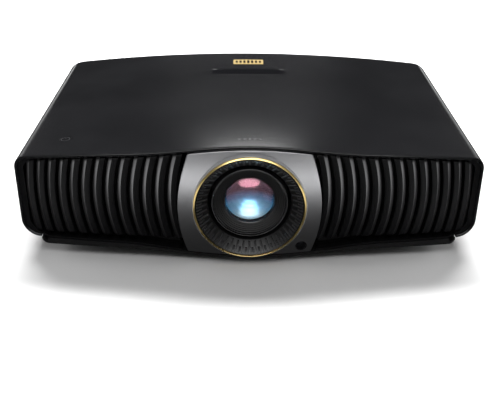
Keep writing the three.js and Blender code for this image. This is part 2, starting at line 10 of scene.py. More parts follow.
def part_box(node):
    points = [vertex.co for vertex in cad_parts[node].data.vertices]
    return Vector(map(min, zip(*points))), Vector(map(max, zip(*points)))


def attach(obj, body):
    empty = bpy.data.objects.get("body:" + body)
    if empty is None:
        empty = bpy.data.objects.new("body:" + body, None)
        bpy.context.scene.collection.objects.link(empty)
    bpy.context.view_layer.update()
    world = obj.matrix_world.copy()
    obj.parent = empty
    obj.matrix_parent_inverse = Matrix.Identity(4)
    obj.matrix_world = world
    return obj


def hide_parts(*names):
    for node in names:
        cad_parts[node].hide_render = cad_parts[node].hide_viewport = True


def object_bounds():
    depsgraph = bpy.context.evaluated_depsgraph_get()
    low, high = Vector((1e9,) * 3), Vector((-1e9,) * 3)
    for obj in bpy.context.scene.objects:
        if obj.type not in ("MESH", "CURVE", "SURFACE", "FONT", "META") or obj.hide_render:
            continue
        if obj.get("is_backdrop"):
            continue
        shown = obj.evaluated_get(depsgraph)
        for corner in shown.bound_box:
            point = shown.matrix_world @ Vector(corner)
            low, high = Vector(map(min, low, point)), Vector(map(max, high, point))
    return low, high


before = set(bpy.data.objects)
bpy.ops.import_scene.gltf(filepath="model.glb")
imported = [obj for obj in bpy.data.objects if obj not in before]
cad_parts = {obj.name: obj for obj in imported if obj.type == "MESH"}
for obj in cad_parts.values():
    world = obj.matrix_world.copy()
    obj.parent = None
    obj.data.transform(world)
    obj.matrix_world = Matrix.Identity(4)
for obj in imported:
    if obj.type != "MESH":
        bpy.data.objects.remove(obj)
cad_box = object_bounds()
MM = 0.001

# ---- Dimensions in millimetres, placed as in the frame -------------------------------
# Casing: plan, top, sides
HALF_W = 246
WALL = 3.5
LIP_R = 1.5
GAP = 0.4
FRONT_Y = -148
FRONT_BOW = 18
NOSE_BOW = 5
NOSE_HALF = 127
REAR_Y = 175
DEPTH = REAR_Y - FRONT_Y
REAR_BOW = 3
FRONT_TOP_Z = 112.4
REAR_TOP_Z = 104.7
FRONT_CROWN = 13.8
REAR_CROWN = 13
HUMP = 9.3
HUMP_FADE = 5
TOP_R = 14
SIDE_FOOT_R = 20
SIDE_BOTTOM_Z = 18
REAR_PLAN_R = 10
# Base pan, and the seam above it
PAN_Z = 10.4
PAN_CROWN = 1.06
PAN_HUMP = 5.15
PAN_HALF = 225.6
PAN_END_R = 7
PAN_FLOOR = 2.6
SEAM_Z = 18.3
SEAM_CROWN = 3.4
SEAM_HUMP = 11
SEAM_HALF = 150
# Louvres
BLADES = 13
BLADE_X = 86.5
BLADE_PITCH = 13.35
BLADE_CLOSING = 0.0061
BLADE_DEPTH = 12
BLADE_BOW = 7.6
BLADE_SAG = 3.6  # how far a blade's ends lie behind its middle
BLADE_REACH = 48.0  # how far above or below the lens axis that sag is measured
BLADE_FILL = 0.79  # share of the pitch that a blade's width takes
MIN_PITCH = 9.5
BOW_FADE = 190
OPENING_LOW_R, OPENING_TOP_R = 15.2, 9.6
FRAME_T = 2.6
SCREEN_DEPTH, SCREEN_T = 15.5, 0.8
# Lens plate, gold ring, ribbed funnel and lens
LENS_Z = 67.5
PLATE_HALF = 75
PLATE_WAIST = 8
PLATE_SAG = 6
PLATE_TOP_GAP = 1.2
RING_R = 58.9
RING_BAND = 2.2
RING_FRONT_Y = -178
RING_CHAMFER = 1.6
RIBS = 48
RIB_SHARE = 0.72  # share of the circumference that the ribs cover
FUNNEL_IN_R = 44
FUNNEL_IN_Y = -165
LENS_FRONT_Y = -165
LENS_AXIS = (0, 0, LENS_Z)
GLASS_R = 26.3
# Rear panel, windows, button, badge, feet and screws
PANEL_Y = 171
PANEL_T = 3
VENT_X, VENT_Z = 118, 94
IR_X, IR_Z, IR_R = 55.3, 19, 6.2
BUTTON_X, BUTTON_Y, BUTTON_R = -197.5, -111.6, 7
BADGE_Y = 138
STATUS_Y = -144
FOOT_X, FOOT_FRONT_Y, FOOT_REAR_Y = 190, -112, 138
SCREWS = [(-228, 88), (228, 88), (-228, 40), (228, 28), (0, 104), (-118, 30), (118, 30), (130, 77)]


# ---- Numbers that work in Python, on arrays and in Geometry Nodes --------------------
class Field:
    """A number in a node tree; arithmetic on it adds the matching Math nodes."""

    def __init__(self, tree, socket):
        self.tree = tree
        self.socket = socket

    def step(self, operation, *others):
        node = self.tree.nodes.new("ShaderNodeMath")
        node.operation = operation
        for socket, value in zip(node.inputs, (self, *others)):
            if isinstance(value, Field):
                self.tree.links.new(value.socket, socket)
            else:
                socket.default_value = value
        return Field(self.tree, node.outputs[0])

    def __add__(self, other):
        return self.step("ADD", other)

    def __sub__(self, other):
        return self.step("SUBTRACT", other)

    def __mul__(self, other):
        return self.step("MULTIPLY", other)

    def __truediv__(self, other):
        return self.step("DIVIDE", other)

    def __pow__(self, other):
        return self.step("POWER", other)

    def __rsub__(self, other):
        first = Field(self.tree, self.tree.nodes.new("ShaderNodeValue").outputs[0])
        first.socket.default_value = other
        return first.step("SUBTRACT", self)

    def __abs__(self):
        return self.step("ABSOLUTE")

    __radd__ = __add__
    __rmul__ = __mul__


def cosine(x):
    return x.step("COSINE") if isinstance(x, Field) else np.cos(x)


def root(x):
    return x.step("SQRT") if isinstance(x, Field) else np.sqrt(x)


def larger(x, y):
    return x.step("MAXIMUM", y) if isinstance(x, Field) else np.maximum(x, y)


def smaller(x, y):
    return x.step("MINIMUM", y) if isinstance(x, Field) else np.minimum(x, y)


def mix(a, b, t):
    return a + (b - a) * t


# ---- The casing's surfaces -----------------------------------------------------------
def crown(x):
    return 1 - x * x / HALF_W**2


def swell(x, half):
    return (cosine(smaller(abs(x) / half, 1.0) * math.pi) + 1) * 0.5


def front_y(x):
    return FRONT_Y - FRONT_BOW * crown(x) - NOSE_BOW * swell(x, NOSE_HALF)


def rear_y(x):
    return REAR_Y + REAR_BOW * crown(x)


def share(x, y):
    return (y - front_y(x)) / (rear_y(x) - front_y(x))


def top_at(x, t):
    edge = mix(FRONT_TOP_Z, REAR_TOP_Z, t) + mix(FRONT_CROWN, REAR_CROWN, t) * crown(x)
    return edge + HUMP * swell(x, NOSE_HALF) * (1 - t) ** HUMP_FADE


def top_z(x, y):
    return top_at(x, share(x, y))


def pan_at(x, t):
    return PAN_Z - PAN_CROWN * crown(x) - PAN_HUMP * swell(x, NOSE_HALF) * (1 - t) ** 2


def seam_z(x):
    seam = SEAM_Z - SEAM_CROWN * crown(x) - SEAM_HUMP * swell(x, SEAM_HALF)
    return larger(seam, pan_at(x, 0) + PAN_FLOOR)


def plate_half(z):
    return PLATE_HALF - PLATE_WAIST * ((z - LENS_Z) / 57) ** 2


def plate_y(x, z):
    return front_y(x) + 1 - (PLATE_SAG + 1) * larger(1 - ((z - LENS_Z) / 62) ** 2, 0.0)


def half_section(t, fine=56, bends=12):
    """The cover's section at depth share t, from its top middle to its lower edge."""
    bend = math.atan(2 * mix(FRONT_CROWN, REAR_CROWN, t) / HALF_W)
    corner_x = HALF_W - TOP_R
    end = corner_x + TOP_R * math.sin(bend)
    corner_z = top_at(end, t) - TOP_R * math.cos(bend)
    points = [(x, top_at(x, t)) for x in np.linspace(0, end, fine + 1)]
    for a in np.linspace(math.pi / 2 - bend, 0, bends + 1)[1:]:
        points.append((corner_x + TOP_R * math.cos(a), corner_z + TOP_R * math.sin(a)))
    side = SIDE_BOTTOM_Z + SIDE_FOOT_R
    points += [(HALF_W, z) for z in np.linspace(corner_z, side, 8)[1:-1]]
    for a in np.linspace(0, math.pi / 2, bends + 1):
        x = HALF_W - SIDE_FOOT_R * (1 - math.cos(a))
        points.append((x, side - SIDE_FOOT_R * math.sin(a)))
    return np.array(points)


def inset(outline, d):
    """An open outline moved inwards by d; it runs with its inside on the right."""
    ahead = np.vstack([outline[1:], outline[-1:]])
    behind = np.vstack([outline[:1], outline[:-1]])
    run = ahead - behind
    run /= np.linalg.norm(run, axis=1)[:, None]
    return outline + d * np.column_stack([run[:, 1], -run[:, 0]])


def full_section(t, d=0.0):
    right = half_section(t)
    left = right[1:][::-1] * (-1, 1)
    return inset(np.vstack([left, right]), d)


def rear_draw(t):
    """How far the sides draw in at depth share t, round the rear corners."""
    left = min((1 - t) * DEPTH, REAR_PLAN_R)
    return REAR_PLAN_R - math.sqrt(REAR_PLAN_R**2 - (REAR_PLAN_R - left) ** 2)


def placed_row(section, t, depth=0.0):
    """A section's points put at depth share t, and drawn in near the rear."""
    x = section[:, 0] * (1 - rear_draw(t) / HALF_W)
    y = mix(front_y(section[:, 0]), rear_y(section[:, 0]), t) + depth
    return np.column_stack([x, y, section[:, 1]])


# ---- Mesh making ---------------------------------------------------------------------
def placed_object(name, data):
    obj = bpy.data.objects.new(name, data)
    bpy.context.scene.collection.objects.link(obj)
    return obj


def piece(name, vertices, faces, material, angle=35.0, merge=0.0):
    """A finished mesh object from millimetre points, smooth but for edges sharper than angle."""
    mesh = bpy.data.meshes.new(name)
    mesh.from_pydata([tuple(float(c) * MM for c in v) for v in vertices], [], faces)
    bm = bmesh.new()
    bm.from_mesh(mesh)
    if merge:
        bmesh.ops.remove_doubles(bm, verts=bm.verts, dist=merge * MM)
        bmesh.ops.dissolve_degenerate(bm, edges=bm.edges, dist=merge * MM)
    bmesh.ops.recalc_face_normals(bm, faces=bm.faces)
    bm.to_mesh(mesh)
    bm.free()
    obj = placed_object(name, mesh)
    mesh.materials.append(material)
    smooth(obj, angle)
    return obj


def smooth(obj, angle=35.0):
    obj.data.shade_smooth()
    obj.data.set_sharp_from_angle(angle=math.radians(angle))


def applied(obj, angle=35.0):
    """Replaces obj's mesh with its modified one and drops the modifiers."""
    graph = bpy.context.evaluated_depsgraph_get()
    graph.update()
    mesh = bpy.data.meshes.new_from_object(obj.evaluated_get(graph))
    obj.modifiers.clear()
    obj.data = mesh
    smooth(obj, angle)
    return obj


def bevelled(obj, width=0.3, segments=2, angle=40.0):
    bevel = obj.modifiers.new("edges", "BEVEL")
    bevel.width = width * MM
    bevel.segments = segments
    bevel.limit_method = "ANGLE"
    bevel.angle_limit = math.radians(angle)
    bevel.harden_normals = False
    return applied(obj, 20.0)


def cut(obj, *tools, angle=35.0):
    for tool in tools:
        boolean = obj.modifiers.new("cut", "BOOLEAN")
        boolean.operation = "DIFFERENCE"
        boolean.solver = "EXACT"
        boolean.object = tool
    applied(obj, angle)
    for tool in tools:
        bpy.data.objects.remove(tool)
    return obj


def recoated(obj, material):
    obj.data.materials.clear()
    obj.data.materials.append(material)
    return obj


def loop_faces(loops, count, closed=False):
    """Faces between loops of count points; closed joins the last loop to the first."""
    faces = []
    for i in range(loops if closed else loops - 1):
        n = (i + 1) % loops
        for j in range(count):
            k = (j + 1) % count
            faces.append((i * count + j, i * count + k, n * count + k, n * count + j))
    return faces


def sheet_faces(rows, columns, start=0, flip=False):
    faces = []
    for i in range(rows - 1):
        for j in range(columns - 1):
            a = start + i * columns + j
            quad = (a, a + columns, a + columns + 1, a + 1)
            faces.append(quad[::-1] if flip else quad)
    return faces


def shell(name, near, far, material, angle=35.0, wrap=False):
    """A closed solid between two sheets of points, each an array of rows x columns x 3."""
    near, far = np.array(near), np.array(far)
    if wrap:
        near = np.concatenate([near, near[:, :1]], axis=1)
        far = np.concatenate([far, far[:, :1]], axis=1)
    rows, columns = near.shape[:2]
    size = rows * columns
    faces = sheet_faces(rows, columns) + sheet_faces(rows, columns, size, True)
    rim = list(range(columns)) + [i * columns + columns - 1 for i in range(1, rows)]
    rim += [(rows - 1) * columns + j for j in range(columns - 2, -1, -1)]
    rim += [i * columns for i in range(rows - 2, 0, -1)]
    pairs = list(zip(rim, rim[1:] + rim[:1]))
    if wrap:
        edge_rows = [(j, j + 1) for j in range(columns - 1)]
        last = (rows - 1) * columns
        pairs = edge_rows + [(last + b, last + a) for a, b in edge_rows]
    faces += [(a, b, size + b, size + a) for a, b in pairs]
    points = np.vstack([near.reshape(-1, 3), far.reshape(-1, 3)])
    return piece(name, points, faces, material, angle, merge=0.01)


def turned(name, profile, material, centre=(0, 0, 0), axis="y", segments=96, angle=35.0):
    """A closed [radius, height] profile turned about an axis through centre."""
    radius, along = np.array(profile, float).T
    vertices = []
    for a in full_turn(segments):
        across, up = radius * math.cos(a), radius * math.sin(a)
        order = {"y": (across, along, up), "z": (across, up, along)}[axis]
        vertices.append(np.column_stack(order))
    faces = loop_faces(segments, len(profile), closed=True)
    points = np.vstack(vertices) + np.array(centre, float)
    return piece(name, points, faces, material, angle, merge=0.002)


def full_turn(count):
    """Evenly spaced angles round a circle, in radians."""
    return np.linspace(0, 2 * math.pi, count, endpoint=False)


def arc(cx, cy, r, start, end, steps=6):
    return [
        (cx + r * math.cos(math.radians(a)), cy + r * math.sin(math.radians(a)))
        for a in np.linspace(start, end, steps + 1)
    ]


def rounded_outline(half_x, half_z, r, steps=5):
    points = []
    for quarter, (sx, sz) in enumerate([(1, 1), (-1, 1), (-1, -1), (1, -1)]):
        centre = (sx * (half_x - r), sz * (half_z - r))
        points += arc(*centre, r, quarter * 90, quarter * 90 + 90, steps)
    return np.array(points)


def block(name, outline, y0, y1, material, centre=(0, 0), soft=0.4):
    """An outline in X and Z, extruded from y0 to y1, with its edges softened."""
    outline = np.array(outline, float) + centre
    count = len(outline)
    vertices = [(x, y, z) for y in (y0, y1) for x, z in outline]
    faces = [tuple(range(count)), tuple(range(2 * count - 1, count - 1, -1))]
    for i in range(count):
        k = (i + 1) % count
        faces.append((i, count + i, count + k, k))
    obj = piece(name, vertices, faces, material)
    return bevelled(obj, soft) if soft else obj


def rod(name, r, start, end, material, segments=48):
    """A plain round rod between two points, used to bore holes."""
    start, end = Vector(start), Vector(end)
    along = (end - start).normalized()
    side = along.orthogonal().normalized()
    up = along.cross(side)
    ring = [side * r * math.cos(a) + up * r * math.sin(a) for a in full_turn(segments)]
    vertices = [tuple(start + p) for p in ring] + [tuple(end + p) for p in ring]
    faces = [tuple(range(segments))[::-1], tuple(range(segments, 2 * segments))]
    faces += loop_faces(2, segments)
    return piece(name, vertices, faces, material)


def refined(name, node, width=0.25):
    """A merged copy of a CAD node's mesh with its edges softened; it replaces that node."""
    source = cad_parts[node]
    mesh = source.data.copy()
    mesh.transform(source.matrix_world)
    bm = bmesh.new()
    bm.from_mesh(mesh)
    bmesh.ops.remove_doubles(bm, verts=bm.verts, dist=0.005 * MM)
    bmesh.ops.dissolve_limit(bm, angle_limit=math.radians(2), verts=bm.verts, edges=bm.edges)
    bm.to_mesh(mesh)
    bm.free()
    return bevelled(placed_object(name, mesh), width)


def joined(name, objects):
    """One mesh from several objects, keeping each one's material."""
    bm = bmesh.new()
    materials = []
    for obj in objects:
        first = len(bm.faces)
        bm.from_mesh(obj.data)
        bm.faces.ensure_lookup_table()
        slots = []
        for material in obj.data.materials:
            if material not in materials:
                materials.append(material)
            slots.append(materials.index(material))
        for face in bm.faces[first:]:
            face.material_index = slots[face.material_index]
    mesh = bpy.data.meshes.new(name)
    bm.to_mesh(mesh)
    bm.free()
    for material in materials:
        mesh.materials.append(material)
    for obj in objects:
        bpy.data.objects.remove(obj)
    return placed_object(name, mesh)


def show(obj, body, *nodes, slot=None):
    """Rides obj on its body, in place of the CAD nodes named."""
    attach(obj, body)
    if nodes:
        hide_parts(*nodes)
    return obj


# ---- Geometry Nodes ------------------------------------------------------------------
class Tree:
    """A Geometry Nodes tree with named inputs, ending in Realize Instances and Set Material."""

    def __init__(self, name, **inputs):
        self.tree = bpy.data.node_groups.new(name, "GeometryNodeTree")
        face = self.tree.interface
        face.new_socket("Geometry", in_out="INPUT", socket_type="NodeSocketGeometry")
        for label, value in inputs.items():
            kind = "NodeSocketInt" if isinstance(value, int) else "NodeSocketFloat"
            socket = face.new_socket(label, in_out="INPUT", socket_type=kind)
            socket.default_value = value
        for label in ("Finish", "Edge Finish"):
            face.new_socket(label, in_out="INPUT", socket_type="NodeSocketMaterial")
        face.new_socket("Geometry", in_out="OUTPUT", socket_type="NodeSocketGeometry")
        self.start = self.tree.nodes.new("NodeGroupInput")
        self.end = self.tree.nodes.new("NodeGroupOutput")

    def add(self, kind, **settings):
        node = self.tree.nodes.new(kind)
        for key, value in settings.items():
            setattr(node, key, value)
        return node

    def link(self, source, target):
        self.tree.links.new(source, target)

    def input(self, label):
        return self.start.outputs[label]

    def number(self, label):
        return Field(self.tree, self.input(label))

    def split(self, vector):
        node = self.add("ShaderNodeSeparateXYZ")
        self.link(vector, node.inputs[0])
        return [Field(self.tree, out) for out in node.outputs]

    def together(self, x, y, z):
        node = self.add("ShaderNodeCombineXYZ")
        for value, socket in zip((x, y, z), node.inputs):
            if isinstance(value, Field):
                self.link(value.socket, socket)
            else:
                socket.default_value = value
        return node.outputs[0]

    def moved(self, geometry, position):
        node = self.add("GeometryNodeSetPosition")
        self.link(geometry, node.inputs["Geometry"])
        self.link(position, node.inputs["Position"])
        return node.outputs[0]

    def repeated(self, geometry, count):
        """count copies of geometry, realized, and the number of each copy as a field."""
        line = self.add("GeometryNodeMeshLine")
        self.link(count, line.inputs["Count"])
        line.inputs["Offset"].default_value = (0, 0, 0)
        index = self.add("GeometryNodeInputIndex")
        mark = self.add("GeometryNodeStoreNamedAttribute", data_type="FLOAT", domain="POINT")
        mark.inputs["Name"].default_value = "copy"
        self.link(line.outputs[0], mark.inputs["Geometry"])
        self.link(index.outputs[0], mark.inputs["Value"])
        spread = self.add("GeometryNodeInstanceOnPoints")
        self.link(mark.outputs[0], spread.inputs["Points"])
        self.link(geometry, spread.inputs["Instance"])
        real = self.add("GeometryNodeRealizeInstances")
        self.link(spread.outputs[0], real.inputs[0])
        number = self.add("GeometryNodeInputNamedAttribute", data_type="FLOAT")
        number.inputs["Name"].default_value = "copy"
        return real.outputs[0], Field(self.tree, number.outputs[0])

    def position(self):
        return self.split(self.add("GeometryNodeInputPosition").outputs[0])

    def dressed(self, geometry, label, selection=None):
        dress = self.add("GeometryNodeSetMaterial")
        self.link(geometry, dress.inputs["Geometry"])
        self.link(self.input(label), dress.inputs["Material"])
        if selection:
            self.link(selection, dress.inputs["Selection"])
        return dress.outputs[0]

    def finish(self, geometry, edged=False):
        """Ends the tree; edged faces, marked on the stub, take the edge finish."""
        real = self.add("GeometryNodeRealizeInstances")
        self.link(geometry, real.inputs[0])
        dressed = self.dressed(real.outputs[0], "Finish")
        if edged:
            mark = self.add("GeometryNodeInputNamedAttribute", data_type="BOOLEAN")
            mark.inputs["Name"].default_value = "edged"
            dressed = self.dressed(dressed, "Edge Finish", mark.outputs[0])
        self.link(dressed, self.end.inputs[0])


def grown(obj, builder, material, angle=35.0, edge=None, **inputs):
    """Runs a node tree on obj and keeps the result as its plain mesh."""
    modifier = obj.modifiers.new("grow", "NODES")
    modifier.node_group = builder.tree
    for item in builder.tree.interface.items_tree:
        if item.in_out == "INPUT" and item.name in inputs:
            modifier[item.identifier] = inputs[item.name]
        if item.in_out == "INPUT" and item.name == "Finish":
            modifier[item.identifier] = material
        if item.in_out == "INPUT" and item.name == "Edge Finish":
            modifier[item.identifier] = edge or material
    obj = applied(obj, angle)
    for attribute in [a for a in obj.data.attributes if a.name in ("copy", "edged")]:
        obj.data.attributes.remove(attribute)
    return obj


# ---- Finishes ------------------------------------------------------------------------
class Finish:
    """A Principled material and short calls for the nodes that give it its detail."""

    def __init__(self, name, color, roughness, metallic=0.0, **sockets):
        self.material = bpy.data.materials.new(name)
        self.material.use_nodes = True
        self.nodes = self.material.node_tree.nodes
        self.links = self.material.node_tree.links
        self.shader = self.nodes["Principled BSDF"]
        self.color = (*color, 1)
        self.shader.inputs["Base Color"].default_value = self.color
        self.shader.inputs["Roughness"].default_value = roughness
        self.shader.inputs["Metallic"].default_value = metallic
        for label, value in sockets.items():
            self.shader.inputs[label.replace("_", " ")].default_value = value
        self.roughness = roughness
        self.heights = []

    def new(self, kind, **settings):
        node = self.nodes.new(kind)
        for key, value in settings.items():
            setattr(node, key, value)
        return node

    def place(self, scale=(1, 1, 1), location=(0, 0, 0)):
        coordinates = self.new("ShaderNodeTexCoord")
        mapping = self.new("ShaderNodeMapping")
        mapping.inputs["Scale"].default_value = scale
        mapping.inputs["Location"].default_value = location
        self.links.new(coordinates.outputs["Object"], mapping.inputs["Vector"])
        return mapping.outputs["Vector"]

    def noise(self, scale, detail=3.0, stretch=(1, 1, 1), rough=0.55):
        node = self.new("ShaderNodeTexNoise")
        node.inputs["Scale"].default_value = scale
        node.inputs["Detail"].default_value = detail
        node.inputs["Roughness"].default_value = rough
        self.links.new(self.place(stretch), node.inputs["Vector"])
        return node.outputs["Fac"]

    def along(self, axis):
        """The position along one axis, in metres."""
        split = self.new("ShaderNodeSeparateXYZ")
        self.links.new(self.place(), split.inputs[0])
        return split.outputs[axis]

    def cells(self, scale, feature):
        node = self.new("ShaderNodeTexVoronoi", feature=feature)
        node.inputs["Scale"].default_value = scale
        self.links.new(self.place(), node.inputs["Vector"])
        return node.outputs["Distance"]

    def between(self, value, low, high, start=0.3, end=0.7):
        node = self.new("ShaderNodeMapRange")
        node.inputs["From Min"].default_value = start
        node.inputs["From Max"].default_value = end
        node.inputs["To Min"].default_value = low
        node.inputs["To Max"].default_value = high
        self.links.new(value, node.inputs["Value"])
        return node.outputs["Result"]

    def vary_roughness(self, value, spread):
        low, high = self.roughness - spread, self.roughness + spread
        self.links.new(self.between(value, low, high, 0, 1), self.shader.inputs["Roughness"])
        return self

    def vary_color(self, value, other, start=0.35, end=0.75):
        node = self.new("ShaderNodeMix", data_type="RGBA")
        node.inputs["A"].default_value = self.color
        node.inputs["B"].default_value = (*other, 1)
        self.links.new(self.between(value, 0, 1, start, end), node.inputs["Factor"])
        self.links.new(node.outputs["Result"], self.shader.inputs["Base Color"])
        return self

    def bump(self, value, depth):
        """Adds a relief of the given depth in millimetres."""
        node = self.new("ShaderNodeBump")
        node.inputs["Strength"].default_value = 1.0
        node.inputs["Distance"].default_value = depth * MM
        self.links.new(value, node.inputs["Height"])
        if self.heights:
            self.links.new(self.heights[-1], node.inputs["Normal"])
        self.heights.append(node.outputs["Normal"])
        self.links.new(node.outputs["Normal"], self.shader.inputs["Normal"])
        return self


def moulded(name, color, roughness, grain=1600, depth=0.012, spread=0.05, shine=0.5):
    """Moulded plastic: a fine spark texture, and slow changes in sheen and shade."""
    finish = Finish(name, color, roughness, Specular_IOR_Level=shine)
    finish.vary_roughness(finish.noise(12, 1), spread)
    finish.vary_color(finish.noise(9, 3), tuple(c * 1.25 + 0.001 for c in color))
    finish.bump(finish.noise(grain, 2), depth)
    return finish.material


def cover_plastic():
    """The cover's satin paint, a little closer and shinier towards the rear."""
    finish = Finish("casing_satin_black", (0.0062, 0.0063, 0.0071), 0.2)
    sheen = finish.between(finish.along("Y"), 0.25, 0.15, -0.13, 0.11)
    clouds = finish.between(finish.noise(12, 1), -0.015, 0.015, 0, 1)
    total = finish.new("ShaderNodeMath", operation="ADD")
    finish.links.new(sheen, total.inputs[0])
    finish.links.new(clouds, total.inputs[1])
    finish.links.new(total.outputs[0], finish.shader.inputs["Roughness"])
    finish.vary_color(finish.noise(9, 3), (0.0104, 0.0105, 0.0116))
    finish.bump(finish.noise(1500, 2), 0.004)
    return finish.material


def coating_with_painted_reflection():
    """The blue coating deep in the lens, with a painted reflection: its colour runs near black
    above, blue and then pale below.
    """
    finish = Finish("deep_blue_coat", (0.02, 0.05, 0.09), 0.44, 1.0)
    height = finish.along("Z")
    # Painted reflection: this ramp by height paints the bowl pale and blue below and near black
    # above, as its reflections would fall.
    ramp = finish.new("ShaderNodeValToRGB")
    painted_reflection_stops = [(0.0, (0.8, 0.93, 1.0)), (0.2, (0.34, 0.62, 0.82))]
    painted_reflection_stops += [(0.42, (0.04, 0.13, 0.22)), (0.62, (0.003, 0.005, 0.009))]
    bands = ramp.color_ramp
    while len(bands.elements) < len(painted_reflection_stops):
        bands.elements.new(0.5)
    for element, (place, color) in zip(bands.elements, painted_reflection_stops):
        element.position = place
        element.color = (*color, 1)
    finish.links.new(finish.between(height, 0, 1, 0.045, 0.085), ramp.inputs["Fac"])
    finish.links.new(ramp.outputs["Color"], finish.shader.inputs["Base Color"])
    rings = finish.new("ShaderNodeTexWave", wave_type="RINGS", rings_direction="Y")
    rings.inputs["Scale"].default_value = 70
    rings.inputs["Distortion"].default_value = 0.6
    finish.links.new(finish.place(location=(0, 0, -LENS_Z * MM)), rings.inputs["Vector"])
    finish.bump(rings.outputs["Fac"], 0.12)
    return finish.material


def brushed(name, color, roughness, stretch, depth=0.006, metallic=1.0):
    finish = Finish(name, color, roughness, metallic)
    lines = finish.noise(900, 4, stretch)
    finish.vary_roughness(lines, 0.06)
    finish.vary_color(finish.noise(14, 3), tuple(c * 1.12 for c in color))
    finish.bump(lines, depth)
    return finish.material


def glossy(name, color, roughness, metallic=0.0, **sockets):
    finish = Finish(name, color, roughness, metallic, **sockets)
    finish.vary_roughness(finish.noise(14, 1), roughness * 0.35)
    finish.bump(finish.noise(220, 3), 0.002)
    return finish.material


def board():
    finish = Finish("solder_mask", (0.012, 0.09, 0.035), 0.35)
    tracks = finish.cells(260, "DISTANCE_TO_EDGE")
    finish.vary_color(tracks, (0.02, 0.14, 0.05), 0.02, 0.08)
    finish.bump(tracks, 0.05)
    return finish.material


def phosphor():
    finish = Finish("phosphor_coat", (0.75, 0.62, 0.1), 0.6)
    finish.vary_color(finish.noise(300, 4), (0.6, 0.66, 0.16))
    finish.bump(finish.noise(1400, 2), 0.03)
    return finish.material


def coated_glass(name, tint, roughness):
    """Clear glass whose reflections take the colour of its coating."""
    finish = Finish(name, (0.9, 0.95, 1.0), roughness, IOR=1.6, Transmission_Weight=1.0)
    finish.shader.inputs["Specular Tint"].default_value = (*tint, 1)
    finish.bump(finish.noise(30, 2), 0.0006)
    return finish.material


CASING = cover_plastic()
LOUVRE = moulded("louvre_satin_black", (0.005, 0.005, 0.0057), 0.42, 1700, 0.006, 0.03, shine=0.1)
CHAMFER = brushed("louvre_chamfer", (0.22, 0.22, 0.225), 0.34, (1, 1, 0.05), 0.002)
BASE = moulded("base_matt_black", (0.008, 0.008, 0.009), 0.5, 1200, 0.02)
DARK = moulded("lens_matt_black", (0.006, 0.006, 0.007), 0.42, 1400, 0.01)
CELL = moulded("lens_cell_black", (0.007, 0.0072, 0.008), 0.3, 1800, 0.006)
RIM = moulded("lens_rim_grey", (0.036, 0.036, 0.038), 0.35, 1500, 0.004)
SEAT = moulded("ring_seat_satin_grey", (0.38, 0.38, 0.39), 0.4, 1500, 0.004)
GUNMETAL = brushed("gunmetal_satin", (0.34, 0.34, 0.35), 0.34, (0.05, 1, 1), 0.003)
GOLD = glossy("gold_anodised", (0.93, 0.7, 0.29), 0.3, 1.0)
BADGE_GOLD = brushed("badge_gold", (0.5, 0.36, 0.14), 0.35, (1, 0.08, 1), 0.006, metallic=0.3)
GLOSS = glossy("gloss_black", (0.004, 0.004, 0.005), 0.06)
MARK = glossy("dim_print", (0.045, 0.045, 0.048), 0.45)
PRINT = glossy("grey_print", (0.16, 0.16, 0.165), 0.45)
STEEL = brushed("plated_steel", (0.5, 0.5, 0.51), 0.3, (1, 0.1, 1))
ALLOY = brushed("machined_alloy", (0.55, 0.56, 0.58), 0.38, (0.1, 1, 1))
COPPER = brushed("contact_gold", (0.8, 0.55, 0.25), 0.28, (1, 0.1, 1))
GREY = moulded("grey_moulding", (0.05, 0.05, 0.055), 0.45)
RUBBER = moulded("black_rubber", (0.012, 0.012, 0.012), 0.75, 900, 0.04)
KEYCAP = moulded("key_rubber", (0.02, 0.02, 0.021), 0.6, 1300, 0.015)
BOARD = board()
PHOSPHOR = phosphor()
FRONT_GLASS = coated_glass("front_glass_rose_coat", (1.0, 0.45, 0.56), 0.14)
INNER_GLASS = coated_glass("inner_glass_blue_coat", (0.3, 0.62, 1.0), 0.02)
# The bowl's coating carries a painted reflection by height: pale below, near black above.
BOWL_COAT_PAINTED_REFLECTION = coating_with_painted_reflection()


# ---- Casing --------------------------------------------------------------------------
COVER_SHARES = [*np.linspace(0.004, 0.96, 58)]
COVER_SHARES += [1 - d / DEPTH for d in (REAR_PLAN_R, 8, 6, 4.5, 3, 2, 1.2, 0.6, 0.2, 0)]


def edge_rows(side):
    """The lip's rounded front edge: rows of the outer (side 1) or inner (side -1) sheet."""
    middle = WALL / 2
    rows = [placed_row(full_section(0, middle), 0)]
    for a in np.linspace(0, 90, 6):
        depth = LIP_R * (1 - math.cos(math.radians(a)))
        drop = LIP_R * (1 - math.sin(math.radians(a)))
        rows.append(placed_row(full_section(0, middle - side * (middle - drop)), 0, depth))
    return rows


def top_cover():
    outer = edge_rows(1) + [placed_row(full_section(t), t) for t in COVER_SHARES]
    inner = edge_rows(-1) + [placed_row(full_section(t, WALL), t) for t in COVER_SHARES]
    cover = shell("top_cover_shell", outer, inner, CASING)
    to_world = button_frame()
    start, end = to_world @ Vector((0, 0, -8)), to_world @ Vector((0, 0, 4))
    return cut(cover, rod("button_bore", BUTTON_R + GAP, start, end, CASING, 64))


def button_frame():
    """Where the power button sits: its origin on the top surface, +Z along the normal."""
    rise = top_z(BUTTON_X + 1.0, BUTTON_Y) - top_z(BUTTON_X - 1.0, BUTTON_Y)
    slope = math.atan(rise / 2)
    place = Matrix.Translation((BUTTON_X, BUTTON_Y, top_z(BUTTON_X, BUTTON_Y)))
    return place @ Matrix.Rotation(-slope, 4, "Y")


def pan_outline(t):
    half = [(x, pan_at(x, t)) for x in np.linspace(0, PAN_HALF - PAN_END_R, 60)]
    centre = (PAN_HALF - PAN_END_R, half[-1][1] + PAN_END_R)
    half += arc(*centre, PAN_END_R, -90, 0, 8)[1:]
    half = np.array(half)
    return np.vstack([half[1:][::-1] * (-1, 1), half])


